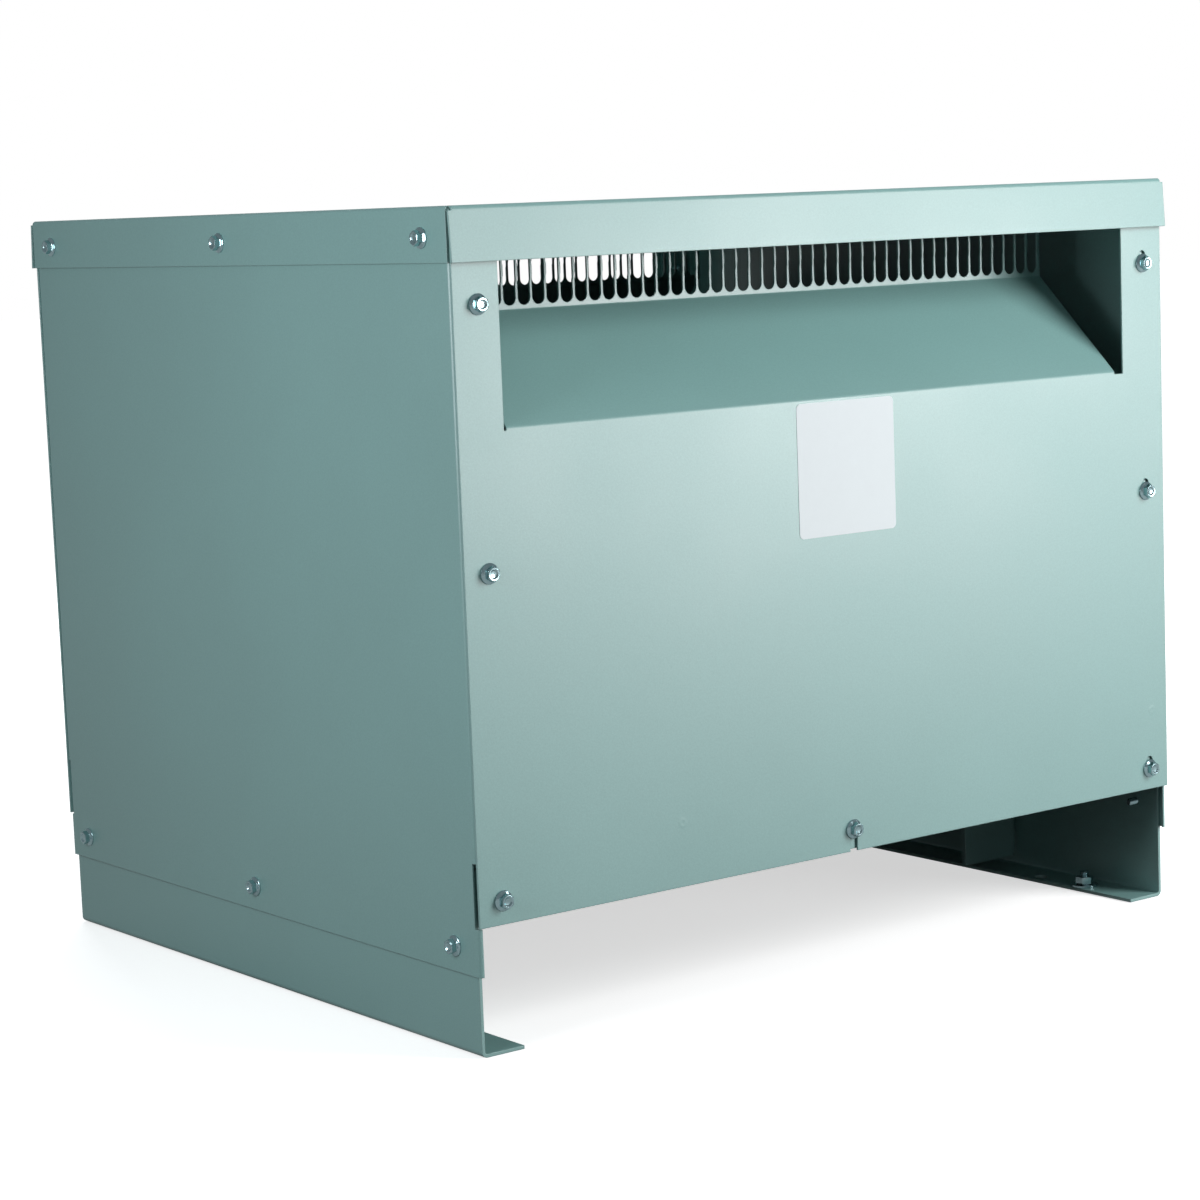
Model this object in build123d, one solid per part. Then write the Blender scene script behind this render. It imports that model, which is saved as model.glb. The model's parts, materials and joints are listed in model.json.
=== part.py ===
from build123d import *
import os

# Ventilated floor-standing power conditioner: a ferroresonant transformer and its
# capacitors inside a cabinet of folded sheet panels on two base rails.
# Millimetres. X to the right, Y to the rear, Z up, origin on the floor at the centre.

# Cabinet
WIDTH = 688.0  # over the two side panels
DEPTH = 600.0  # over the front and rear panels
HEIGHT = 586.0  # floor to the top of the cover
PANEL_T = 1.5
PANEL_BEND = 1.5  # inside radius of every fold in the panel sheet
FIT = 0.5  # gap between panels that nest
CUT_MARGIN = 1.0  # how far a cutter passes the face that it cuts
FRONT_BOTTOM = 93.0  # lower edge of the front and rear panels
SIDE_BOTTOM = 58.0
SIDE_RETURN = 36.0  # upright flanges behind the front and rear panels
SIDE_TOP_RETURN = 25.0
RETURN_NOTCH_DEPTH = 4.2
RETURN_STUB = 3.5  # what is left of the upright flanges below the notch
COVER_FLANGE = 38.0
COVER_SPLAY = 2.5  # the unscrewed front and rear flanges spring out at the bottom
SIDE_TOP_CLEAR = 6.0  # from the upright flanges to the ends of the top return

# Vent folded out of the front and rear panels
OPENING_LEFT = 37.8  # from the panel's left edge
OPENING_RIGHT_INSET = 44.7  # from the panel's right edge
OPENING_RELIEF = 2.0
TONGUE_LEFT_GAP = 2.1
TONGUE_RIGHT_GAP = 9.7
SILL_DROP = 151.0  # from the top of the cover to the sill of the opening
TONGUE_ROOT = 6.0  # height of the strip below the sill that the tongue folds from
THROAT_DEPTH = 80.5
THROAT_RISE = 76.0
GRILLE_TOP_GAP = 2.0
SLOT_PITCH = 12.7
SLOT_WIDTH = 10.8
SLOT_RISE = 3.0  # from the upper fold to the lowest point of a slot
SLOT_MARGIN = 8.5  # from the tongue's right edge to the last slot's centre
PUNCH_LENGTH = 24.6
PUNCH_OVERLAP = 1.0
PUNCH_STEP = 0.5  # sideways error of the middle hit of the punch
PUNCH_HITS = 3

# Base
RAIL_T = 2.5
RAIL_BEND = 2.0
RAIL_HEIGHT = 135.0
RAIL_FLANGE = 36.0
RAIL_SETBACK = 7.0
CROSS_T = 2.0
CROSS_SKIRT = 42.5
CROSS_SHELF = 40.0
CROSS_LIP = 20.0
CROSS_END_GAP = 1.5
LIP_END_GAP = 1.5
CROSS_BOLT_SETBACK = 24.0  # behind the front flange of the side panels
HOLD_DOWN_INSET = 26.8  # hold-down holes and ground stud, from the cabinet's side
HOLD_DOWN_SETBACK = 120.0  # from the front and rear panels' faces
HOLD_DOWN_D = 11.0

# Cleats and beams that carry the core
CLEAT_SETBACK = 169.0  # from the front panel's face
CLEAT_T = 4.0
CLEAT_BEND = 3.0
CLEAT_WIDTH = 63.0
CLEAT_RETURN = 35.0
CLEAT_BOTTOM = 11.0
CLEAT_TOP = 113.0
CLEAT_RELIEF_TOP = 31.0
CLEAT_RELIEF = 2.4
CLEAT_CHAMFER = 5.0
BEAM_T = 4.0
BEAM_HEIGHT = 50.0
BEAM_TOP = 125.0
BEAM_FLANGE = 45.0
BEAM_END_GAP = 0.5
BEAM_BOLT_PITCH = 26.0
PAD_THICKNESS = 10.0
PAD_LENGTH = 60.0
PAD_WIDTH = 29.0

# Core and coils
CORE_SIDE_ROOM = 268.0  # of the cabinet's width, for the capacitors and for air
CORE_RIGHT_ROOM = 64.0  # from the core to the cabinet's right side
CORE_SETBACK = 205.0  # from the front panel's face to the core
CORE_HEADROOM = 105.0  # from the core to the top of the cover
CLAMP_T = 6.0
CLAMP_BEND = 4.0
CLAMP_LEG_GAP = 10.0  # from a clamp's leg to the windows
CLAMP_FOOT = 40.0
CLAMP_OVERHANG = 10.0
FORMER_GAP = 0.5
FORMER_T = 2.0
FORMER_CORNER = 1.5
COIL_GAP = 0.5
COIL_LEG_GAP = 7.0  # from a coil to the outer leg beside it
COIL_END_GAP = 3.0
SHUNT_HEIGHT = 12.0
SHUNT_GAP = 2.0

# Capacitors
CAN_D = 64.0
CAN_HEIGHT = 125.0
CAN_PITCH = 74.0
CAN_COLUMNS = 2
CAN_RIM = 2.0
CAN_COLUMN_INSET = 58.0  # from the cabinet's side to the first column
TERMINAL_SPACING = 24.0
TERMINAL_D = 8.0
TERMINAL_HEIGHT = 8.0
TRAY_T = 2.0
TRAY_FOOT = 19.0
TRAY_MARGIN = 8.0
TRAY_REACH = 43.0  # past the front face of the front beam
TRAY_SCREW_INSET = 15.0  # on the rail, from the cabinet's side
RACK_HEIGHT = 80.0
RACK_HOLE_GAP = 1.0
RACK_MARGIN = 3.0  # beside the outer cans
RACK_FOOT = 18.0
BUS_WIDTH = 12.0
BUS_T = 1.5
BUS_STEP = 18.0  # from the end of one bus to the end of the other

# Terminals
TERMINAL_PANEL_MARGIN = 11.0  # beside the terminal block
TERMINAL_PANEL_T = 2.0
TERMINAL_PANEL_CLEAR = 12.0  # in front of the coils
BLOCK_END = 6.0  # from the last barrier's centre to the end of the block
BLOCK_HEIGHT = 46.0
BLOCK_BASE = 12.0
BLOCK_DROP = 86.0  # from the top of the core to the underside of the block
BARRIER_HEIGHT = 12.0
BARRIER_T = 3.0
STUD_COUNT = 6
STUD_PITCH = 26.0
STUD_LENGTH = 11.0
PANEL_BOLT_INSET = 24.0
LEAD_D = 7.0
LEAD_BEND = 9.0
LEAD_WINDOW_MARGIN = 6.0
LEAD_REACH = 12.0  # lead's centre in front of the terminal panel
CAP_LEAD_REACH = 22.0  # lead's centre in front of the coils
CAP_LEAD_INSET = 12.0
CAP_LEAD_PITCH = 12.0

# Screws with a hexagonal washer head
SCREW_D = 6.3
SCREW_LENGTH = 13.0
SCREW_HEX = 9.5
SCREW_HEX_HEIGHT = 4.9
SCREW_WASHER_D = 14.8
SCREW_WASHER_T = 1.3
TAPPED_CLEARANCE = 0.1  # on the diameter, in the sheet that the screw bites
PASS_CLEARANCE = 0.8  # on the diameter, in the sheet that the screw holds
SCREW_INSET = 20.5
SCREW_LOW = 110.0
SCREW_SILL_DROP = 98.0  # from the sill to the middle screws
SCREW_TOP_DROP = 66.5  # from the top of the cover to the upper screws
LIFT_SLOT = 10.0  # from a right-hand screw's centre to the top of its slot
CENTRE_SLOT = 7.5
SIDE_SCREW_INSET = 31.6
SIDE_SCREW_Z = 76.5
COVER_SCREW_DROP = 21.0

# Hexagon bolts
BOLT_D = 8.0
BOLT_HEX = 13.0
BOLT_HEAD = 5.5
NUT_HEIGHT = 6.5
BOLT_CLEARANCE = 0.4
BOLT_TAIL = 2.0
CORE_BOLT_D = 12.0
CORE_BOLT_HEX = 19.0
WASHER_D = 22.2
WASHER_T = 1.9
GROUND_STUD_SETBACK = 69.5
GROUND_STUD_TAIL = 4.0

# Label
LABEL_SHIFT = 3.2  # to the right of the cabinet's middle
LABEL_WIDTH = 95.5
LABEL_DROP = 102.0  # from the sill to the label's lower edge
LABEL_HEIGHT = 99.5
LABEL_T = 0.3
LABEL_CORNER = 4.0

# Derived places
LEFT = -WIDTH / 2
FRONT = -DEPTH / 2
OPENING_RIGHT = WIDTH - OPENING_RIGHT_INSET
PANEL_TOP = HEIGHT - PANEL_T - FIT
SILL = HEIGHT - SILL_DROP
SCREW_HEIGHTS = (SCREW_LOW, SILL - SCREW_SILL_DROP, HEIGHT - SCREW_TOP_DROP)
RETURN_FACE = FRONT + PANEL_T + FIT
RAIL_FACE = LEFT + PANEL_T + FIT
WEB_FACE = RAIL_FACE + RAIL_T
RAIL_LENGTH = DEPTH - 2 * RAIL_SETBACK
CROSS_TOP = RAIL_HEIGHT + CROSS_T
CROSS_X = WIDTH / 2 - PANEL_T - CROSS_END_GAP
CLEAT_FACE = FRONT + CLEAT_SETBACK
BEAM_FACE = CLEAT_FACE + CLEAT_T
CLAMP_BOTTOM = BEAM_TOP + PAD_THICKNESS
CORE_BOTTOM = CLAMP_BOTTOM + CLAMP_T
CORE_TOP = HEIGHT - CORE_HEADROOM
CORE_LEG = (WIDTH - CORE_SIDE_ROOM) / 6  # outer legs, yokes and windows, half of the centre leg
CORE_WIDTH = 6 * CORE_LEG
CORE_X = WIDTH / 2 - CORE_RIGHT_ROOM - CORE_WIDTH / 2
CORE_STACK = DEPTH - 2 * CORE_SETBACK
CORE_BOLT_INSET = CORE_LEG / 2
CLAMP_LEG = CORE_LEG - CLAMP_LEG_GAP
WINDOW_BOTTOM = CORE_BOTTOM + CORE_LEG
WINDOW_HEIGHT = CORE_TOP - CORE_LEG - WINDOW_BOTTOM
CORE_FACE = -CORE_STACK / 2
CLAMP_FOLD_END = CORE_FACE - CLAMP_T - CLAMP_BEND
PAD_Y = CLAMP_FOLD_END - FIT - BOLT_HEX / 2
PAD_X = CORE_WIDTH / 2 - CORE_BOLT_INSET
COIL_IN_X = CORE_LEG + FORMER_GAP + FORMER_T + COIL_GAP
COIL_IN_Y = CORE_STACK / 2 + FORMER_GAP + FORMER_T + COIL_GAP
COIL_BUILD = 2 * CORE_LEG - COIL_LEG_GAP - COIL_IN_X
COIL_CORNER = FORMER_CORNER + FORMER_T + COIL_GAP
COIL_FACE = -COIL_IN_Y - COIL_BUILD
COIL_HEIGHT = (WINDOW_HEIGHT - 2 * COIL_END_GAP - SHUNT_HEIGHT - 2 * SHUNT_GAP) / 2
PRIMARY_Z = WINDOW_BOTTOM + COIL_END_GAP
SHUNT_Z = PRIMARY_Z + COIL_HEIGHT + SHUNT_GAP
SECONDARY_Z = SHUNT_Z + SHUNT_HEIGHT + SHUNT_GAP
TERMINAL_FACE = COIL_FACE - TERMINAL_PANEL_CLEAR - TERMINAL_PANEL_T
BLOCK_Z = CORE_TOP - BLOCK_DROP
BLOCK_WIDTH = STUD_COUNT * STUD_PITCH + 2 * BLOCK_END
TERMINAL_PANEL_WIDTH = BLOCK_WIDTH + 2 * TERMINAL_PANEL_MARGIN
TRAY_TOP = RAIL_HEIGHT + TRAY_T
CAN_X = [LEFT + CAN_COLUMN_INSET + CAN_PITCH * column for column in range(CAN_COLUMNS)]
TRAY_HALF = TRAY_REACH - BEAM_FACE
CAN_ROWS = 1 + int((2 * (TRAY_HALF - RACK_FOOT - TRAY_MARGIN) - CAN_D) / CAN_PITCH)
CAN_Y = [CAN_PITCH * (row - (CAN_ROWS - 1) / 2) for row in range(CAN_ROWS)]
CAN_TOP = TRAY_TOP + CAN_HEIGHT
BUS_Z = CAN_TOP + TERMINAL_HEIGHT
TRAY_RIGHT = CAN_X[-1] + CAN_D / 2 + TRAY_MARGIN
SIDE_SCREW_YS = (FRONT + SIDE_SCREW_INSET, 0.0, -FRONT - SIDE_SCREW_INSET)
COVER_SCREW_Z = HEIGHT - COVER_SCREW_DROP
CROSS_BOLT_X = WIDTH / 2 - SCREW_INSET
CROSS_BOLT_Y = RETURN_FACE + CROSS_BOLT_SETBACK
LABEL_BOTTOM = SILL - LABEL_DROP

# Directions in which a fastener's head can point
HEAD_FRONT = (90, 0, 0)
HEAD_REAR = (-90, 0, 0)
HEAD_LEFT = (0, -90, 0)
HEAD_RIGHT = (0, 90, 0)
HEAD_UP = (0, 0, 0)
HEAD_DOWN = (180, 0, 0)
ALONG = {"X": (0, 90, 0), "Y": (90, 0, 0), "Z": (0, 0, 0)}


def block(x, y, z):
    """A box between two values on each axis, given in any order."""
    size = [abs(b - a) for a, b in (x, y, z)]
    centre = [(a + b) / 2 for a, b in (x, y, z)]
    return Pos(*centre) * Box(*size)


def rod(diameter, length, centre, axis):
    """A cylinder centred at a point, along the axis X, Y or Z."""
    return Pos(*centre) * Rot(*ALONG[axis]) * Cylinder(diameter / 2, length)


def through_hole(diameter, thickness, centre, axis):
    """Cutter for a hole through a sheet, which passes both of its faces."""
    return rod(diameter, 4 * thickness, centre, axis)


def offset_line(points, distance):
    """The line of points moved to its left by distance, mitred at each corner."""
    ways = [(b - a).normalized() for a, b in zip(points, points[1:])]
    normals = [Vector(-way.Y, way.X) for way in ways]
    moved = [points[0] + normals[0] * distance]
    for point, before, after in zip(points[1:], normals, normals[1:]):
        between = before + after
        moved.append(point + between * (2 * distance / between.dot(between)))
    moved.append(points[-1] + normals[-1] * distance)
    return moved


def folded_section(points, thickness, bend):
    """Section of a folded sheet with its folds rounded.

    points is one face of the sheet with sharp corners. The sheet lies to the left
    of that line, or to its right if the thickness is negative.
    """
    face = [Vector(*point) for point in points]
    back = offset_line(face, thickness)
    face_radii = []
    back_radii = []
    for before, corner, after in zip(face, face[1:], face[2:]):
        turn = (corner - before).cross(after - corner).Z
        outside = turn * thickness > 0
        face_radii.append(bend + abs(thickness) if outside else bend)
        back_radii.append(bend if outside else bend + abs(thickness))
    sides = [FilletPolyline(*face, radius=face_radii), FilletPolyline(*back, radius=back_radii)]
    ends = [Line(face[0], back[0]), Line(face[-1], back[-1])]
    return make_face([edge for line in sides + ends for edge in line.edges()])


def folded_along_x(points, thickness, bend, x):
    """A folded sheet with its section in (Y, Z), running between two values of X."""
    section = Plane.YZ.offset(x[0]) * folded_section(points, thickness, bend)
    return extrude(section, amount=x[1] - x[0])


def folded_along_y(points, thickness, bend, y):
    """A folded sheet with its section in (X, Z), running between two values of Y."""
    section = Plane.XZ.offset(-y[0]) * folded_section(points, thickness, bend)
    return extrude(section, amount=y[0] - y[1])


def folded_along_z(points, thickness, bend, z):
    """A folded sheet with its section in (X, Y), running between two values of Z."""
    section = Plane.XY.offset(z[0]) * folded_section(points, thickness, bend)
    return extrude(section, amount=z[1] - z[0])


def both_sides(shape):
    """The shape and its mirror image on the other side of the cabinet."""
    return [shape, mirror(shape, about=Plane.YZ)]


def front_and_rear(shape):
    """The shape and its mirror image at the other end of the cabinet."""
    return [shape, mirror(shape, about=Plane.XZ)]


def hexagon(across_flats, height):
    """A hexagonal prism that stands on the XY plane."""
    return extrude(RegularPolygon(across_flats / 2, 6, major_radius=False), height)


def washer_head_screw():
    """Screw with its head up and the underside of its washer at Z = 0."""
    shank = Pos(0, 0, -SCREW_LENGTH / 2) * Cylinder(SCREW_D / 2, SCREW_LENGTH)
    washer = Pos(0, 0, SCREW_WASHER_T / 2) * Cylinder(SCREW_WASHER_D / 2, SCREW_WASHER_T)
    return shank + washer + hexagon(SCREW_HEX, SCREW_WASHER_T + SCREW_HEX_HEIGHT)


def hexagon_bolt(diameter, across_flats, head, length):
    """Bolt with its head up and the underside of the head at Z = 0."""
    shank = Pos(0, 0, -length / 2) * Cylinder(diameter / 2, length)
    return shank + hexagon(across_flats, head)


def hexagon_nut(diameter, across_flats, height):
    """Nut that hangs below Z = 0."""
    blank = Pos(0, 0, -height) * hexagon(across_flats, height)
    return blank - Pos(0, 0, -height / 2) * Cylinder((diameter + BOLT_CLEARANCE) / 2, 2 * height)


def placed(fastener, centres, head):
    """Copies of a fastener at the given points, with their heads turned one way."""
    return [Pos(*centre) * Rot(*head) * fastener for centre in centres]


def slot_cutter():
    """One grille slot at X = 0, left by overlapping hits of an obround punch."""
    straight = PUNCH_LENGTH - SLOT_WIDTH
    grille_bottom = SILL + THROAT_RISE + SLOT_RISE
    hits = []
    for hit in range(PUNCH_HITS):
        centre = grille_bottom + PUNCH_LENGTH / 2 + hit * (straight - PUNCH_OVERLAP)
        step = PUNCH_STEP * (hit % 2)
        hits.append(Pos(step, centre) * SlotCenterToCenter(straight, SLOT_WIDTH, rotation=90))
    outline = Sketch() + hits
    grille = FRONT + THROAT_DEPTH
    return Pos(0, grille + PANEL_T / 2, 0) * extrude(Plane.XZ * outline, amount=2 * PANEL_T, both=True)


def vent_tongue():
    """Sloping deflector and upright grille, folded in from the sill of the opening."""
    left = LEFT + OPENING_LEFT + TONGUE_LEFT_GAP
    right = LEFT + OPENING_RIGHT - TONGUE_RIGHT_GAP
    grille = FRONT + THROAT_DEPTH
    line = [
        (FRONT, SILL - TONGUE_ROOT),
        (FRONT, SILL),
        (grille, SILL + THROAT_RISE),
        (grille, PANEL_TOP - GRILLE_TOP_GAP),
    ]
    tongue = folded_along_x(line, -PANEL_T, PANEL_BEND, (left, right))
    last = right - SLOT_MARGIN
    count = int((last - left) / SLOT_PITCH) + 1
    cutter = slot_cutter()
    return tongue - [Pos(last - SLOT_PITCH * slot, 0, 0) * cutter for slot in range(count)]


def vent_panel():
    """Front panel: one sheet, open at the top between its two side strips."""
    panel = block((LEFT, -LEFT), (FRONT, FRONT + PANEL_T), (FRONT_BOTTOM, PANEL_TOP))
    opening = block(
        (LEFT + OPENING_LEFT, LEFT + OPENING_RIGHT),
        (FRONT - PANEL_T, FRONT + 2 * PANEL_T),
        (SILL - OPENING_RELIEF, HEIGHT),
    )
    panel = panel - opening + vent_tongue()
    hole = SCREW_D + PASS_CLEARANCE
    reach = 4 * PANEL_T
    for height in SCREW_HEIGHTS:
        panel -= rod(hole, reach, (LEFT + SCREW_INSET, FRONT, height), "Y")
        slot_top = height + LIFT_SLOT - hole / 2
        slot = SlotCenterToCenter(slot_top - height, hole, rotation=90)
        slot = Plane.XZ * Pos(-LEFT - SCREW_INSET, (slot_top + height) / 2) * slot
        panel -= Pos(0, FRONT, 0) * extrude(slot, amount=reach, both=True)
    low = SCREW_HEIGHTS[0]
    panel -= rod(CENTRE_SLOT, reach, (0, FRONT, low), "Y")
    half_slot = CENTRE_SLOT / 2
    panel -= block((-half_slot, half_slot), (FRONT - reach, FRONT + reach), (FRONT_BOTTOM - reach, low))
    return panel


def side_panel():
    """Left panel: a pan with upright returns and a short return under the cover."""
    inner = LEFT + SIDE_RETURN
    line = [(inner, RETURN_FACE), (LEFT, RETURN_FACE), (LEFT, -RETURN_FACE), (inner, -RETURN_FACE)]
    panel = folded_along_z(line, -PANEL_T, PANEL_BEND, (SIDE_BOTTOM, PANEL_TOP))
    fold = PANEL_T + PANEL_BEND
    top_y = -RETURN_FACE - SIDE_TOP_CLEAR
    panel -= block((LEFT - fold, LEFT + fold), (-top_y, top_y), (PANEL_TOP - fold, HEIGHT))
    top_line = [
        (LEFT, PANEL_TOP - fold - CUT_MARGIN),
        (LEFT, PANEL_TOP),
        (LEFT + SIDE_TOP_RETURN, PANEL_TOP),
    ]
    panel += folded_along_y(top_line, -PANEL_T, PANEL_BEND, (-top_y, top_y))
    for end in (-1, 1):
        notch_y = (end * (-RETURN_FACE + FIT), end * (-RETURN_FACE - RETURN_NOTCH_DEPTH))
        behind_skirt = (FRONT_BOTTOM - CUT_MARGIN, CROSS_TOP + CUT_MARGIN)
        panel -= block((LEFT - FIT, inner + FIT), notch_y, behind_skirt)
        below_notch = (SIDE_BOTTOM - CUT_MARGIN, CROSS_TOP)
        panel -= block((LEFT + RETURN_STUB, inner + FIT), notch_y, below_notch)
        for height in SCREW_HEIGHTS[1:]:
            centre = (LEFT + SCREW_INSET, end * RETURN_FACE, height)
            panel -= through_hole(SCREW_D + TAPPED_CLEARANCE, PANEL_T, centre, "Y")
    for y in SIDE_SCREW_YS:
        panel -= through_hole(SCREW_D + PASS_CLEARANCE, PANEL_T, (LEFT, y, SIDE_SCREW_Z), "X")
        panel -= through_hole(SCREW_D + TAPPED_CLEARANCE, PANEL_T, (LEFT, y, COVER_SCREW_Z), "X")
    return panel


def top_cover():
    """Pan with four flanges and open corner seams, dropped over the panels.

    The front and rear flanges run to the corners, past the ends of the side flanges.
    """
    half_x = WIDTH / 2 + FIT + PANEL_T
    half_y = DEPTH / 2 + FIT + PANEL_T
    fold = PANEL_T + PANEL_BEND
    bottom = HEIGHT - COVER_FLANGE
    across = [(-half_x, bottom), (-half_x, HEIGHT), (half_x, HEIGHT), (half_x, bottom)]
    cover = folded_along_y(across, -PANEL_T, PANEL_BEND, (fold - half_y, half_y - fold))
    splayed = half_y + COVER_SPLAY
    along = [(-splayed, bottom), (-half_y, HEIGHT), (half_y, HEIGHT), (splayed, bottom)]
    flanges = folded_along_x(along, -PANEL_T, PANEL_BEND, (-half_x, half_x))
    for side in (-1, 1):
        corner_x = (side * (half_x - fold), side * (half_x + CUT_MARGIN))
        flanges -= block(corner_x, (-splayed, splayed), (HEIGHT - fold, HEIGHT + CUT_MARGIN))
    cover += flanges
    for side in (-1, 1):
        for y in SIDE_SCREW_YS:
            cover -= through_hole(SCREW_D + PASS_CLEARANCE, PANEL_T, (side * half_x, y, COVER_SCREW_Z), "X")
    return cover


def base_rail():
    """Left rail: a channel that stands on its lower flange, open to the inside."""
    inner = RAIL_FACE + RAIL_FLANGE
    line = [(inner, RAIL_HEIGHT), (RAIL_FACE, RAIL_HEIGHT), (RAIL_FACE, 0), (inner, 0)]
    half = RAIL_LENGTH / 2
    rail = folded_along_y(line, RAIL_T, RAIL_BEND, (-half, half))
    for y in SIDE_SCREW_YS:
        rail -= through_hole(SCREW_D + TAPPED_CLEARANCE, RAIL_T, (RAIL_FACE, y, SIDE_SCREW_Z), "X")
    for end in (-1, 1):
        hold_down = (LEFT + HOLD_DOWN_INSET, end * (-FRONT - HOLD_DOWN_SETBACK), 0)
        rail -= through_hole(HOLD_DOWN_D, RAIL_T, hold_down, "Z")
        bolt = (-CROSS_BOLT_X, end * CROSS_BOLT_Y, RAIL_HEIGHT)
        rail -= through_hole(BOLT_D + BOLT_CLEARANCE, RAIL_T, bolt, "Z")
    return rail


def cross_member():
    """Front cross-member: a skirt behind the panel and a shelf bolted on the rails."""
    rear = RETURN_FACE + CROSS_SHELF
    line = [
        (RETURN_FACE, CROSS_TOP - CROSS_SKIRT),
        (RETURN_FACE, CROSS_TOP),
        (rear, CROSS_TOP),
        (rear, CROSS_TOP - CROSS_LIP),
    ]
    member = folded_along_x(line, -CROSS_T, PANEL_BEND, (-CROSS_X, CROSS_X))
    lip_x = -RAIL_FACE - RAIL_FLANGE - LIP_END_GAP
    lip_y = (rear - CROSS_T - PANEL_BEND, rear + CROSS_T)
    for side in (-1, 1):
        lip_z = (CROSS_TOP - 2 * CROSS_LIP, RAIL_HEIGHT)
        member -= block((side * lip_x, side * WIDTH), lip_y, lip_z)
        screw = (side * CROSS_BOLT_X, RETURN_FACE, SCREW_HEIGHTS[0])
        member -= through_hole(SCREW_D + TAPPED_CLEARANCE, CROSS_T, screw, "Y")
        bolt = (side * CROSS_BOLT_X, CROSS_BOLT_Y, CROSS_TOP)
        member -= through_hole(BOLT_D + BOLT_CLEARANCE, CROSS_T, bolt, "Z")
    centre = (0, RETURN_FACE, SCREW_HEIGHTS[0])
    return member - through_hole(SCREW_D + TAPPED_CLEARANCE, CROSS_T, centre, "Y")


def beam_bolt_centres():
    """Centres of the two bolts at each end of a beam, as (X, Z)."""
    inset = LEFT + CLEAT_WIDTH
    z = BEAM_TOP - BEAM_HEIGHT / 2
    return [(inset - offset, z) for offset in (0.0, BEAM_BOLT_PITCH)]


def core_cleat():
    """Front left cleat: an angle welded to the rail's web, clear of its lower fold."""
    line = [
        (WEB_FACE + CLEAT_WIDTH, CLEAT_FACE),
        (WEB_FACE, CLEAT_FACE),
        (WEB_FACE, CLEAT_FACE + CLEAT_RETURN),
    ]
    cleat = folded_along_z(line, -CLEAT_T, CLEAT_BEND, (CLEAT_BOTTOM, CLEAT_TOP))
    corner = WEB_FACE + CLEAT_RELIEF
    below = (CLEAT_BOTTOM - CUT_MARGIN, CLEAT_RELIEF_TOP)
    relief_y = (CLEAT_FACE - CUT_MARGIN, CLEAT_FACE + CLEAT_RETURN + CUT_MARGIN)
    cleat -= block((WEB_FACE - CUT_MARGIN, corner), relief_y, below)
    plate_back = CLEAT_FACE + CLEAT_T
    fold_x = (WEB_FACE - CUT_MARGIN, corner + CLEAT_T)
    cleat -= block(fold_x, (plate_back, plate_back + CLEAT_RETURN), below)
    chamfer = Polyline(
        (corner, CLEAT_BOTTOM),
        (corner + CLEAT_CHAMFER, CLEAT_BOTTOM),
        (corner, CLEAT_BOTTOM + CLEAT_CHAMFER),
        close=True,
    )
    cleat -= Pos(0, plate_back, 0) * extrude(Plane.XZ * make_face(chamfer), amount=2 * CLEAT_T, both=True)
    for x, z in beam_bolt_centres():
        cleat -= through_hole(BOLT_D + BOLT_CLEARANCE, CLEAT_T, (x, CLEAT_FACE, z), "Y")
    return cleat


def core_beam():
    """Front beam: a channel between the cleats, open to the rear."""
    rear = BEAM_FACE + BEAM_FLANGE
    line = [
        (rear, BEAM_TOP - BEAM_HEIGHT),
        (BEAM_FACE, BEAM_TOP - BEAM_HEIGHT),
        (BEAM_FACE, BEAM_TOP),
        (rear, BEAM_TOP),
    ]
    half = -WEB_FACE - CLEAT_T - CLEAT_BEND - BEAM_END_GAP
    beam = folded_along_x(line, -BEAM_T, CLEAT_BEND, (-half, half))
    for side in (-1, 1):
        for x, z in beam_bolt_centres():
            beam -= through_hole(BOLT_D + BOLT_CLEARANCE, BEAM_T, (side * x, BEAM_FACE, z), "Y")
        pad = (CORE_X + side * PAD_X, PAD_Y, BEAM_TOP)
        beam -= through_hole(BOLT_D + BOLT_CLEARANCE, BEAM_T, pad, "Z")
    return drilled_for_screws(beam, tray_screw_points()[2:3], TAPPED_CLEARANCE)


def vibration_pad(side):
    """Front rubber pad on one side, between a beam and the core's lower clamp."""
    x = CORE_X + side * PAD_X
    pad = block(
        (x - PAD_LENGTH / 2, x + PAD_LENGTH / 2),
        (PAD_Y - PAD_WIDTH / 2, PAD_Y + PAD_WIDTH / 2),
        (BEAM_TOP, CLAMP_BOTTOM),
    )
    return pad - through_hole(BOLT_D + BOLT_CLEARANCE, PAD_THICKNESS, (x, PAD_Y, BEAM_TOP), "Z")


def core_bolt_centres():
    """Centres of the four through bolts of the core, as (X, Z)."""
    reach = CORE_WIDTH / 2 - CORE_BOLT_INSET
    heights = (CORE_BOTTOM + CORE_BOLT_INSET, CORE_TOP - CORE_BOLT_INSET)
    return [(CORE_X + side * reach, z) for side in (-1, 1) for z in heights]


def drilled_for_core(shape, z_range):
    """The shape with a through hole for each core bolt between two heights."""
    for x, z in core_bolt_centres():
        if z_range[0] < z < z_range[1]:
            shape -= rod(CORE_BOLT_D + BOLT_CLEARANCE, DEPTH, (x, 0, z), "Y")
    return shape


def core_laminations():
    """Stack of E and I sheets with a centre leg and two windows."""
    left = CORE_X - CORE_WIDTH / 2
    core = block((left, left + CORE_WIDTH), (CORE_FACE, -CORE_FACE), (CORE_BOTTOM, CORE_TOP))
    window_top = WINDOW_BOTTOM + WINDOW_HEIGHT
    for side in (-1, 1):
        window_x = (CORE_X + side * CORE_LEG, CORE_X + side * (CORE_WIDTH / 2 - CORE_LEG))
        core -= block(window_x, (FRONT, -FRONT), (WINDOW_BOTTOM, window_top))
    return drilled_for_core(core, (CORE_BOTTOM, CORE_TOP))


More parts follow.
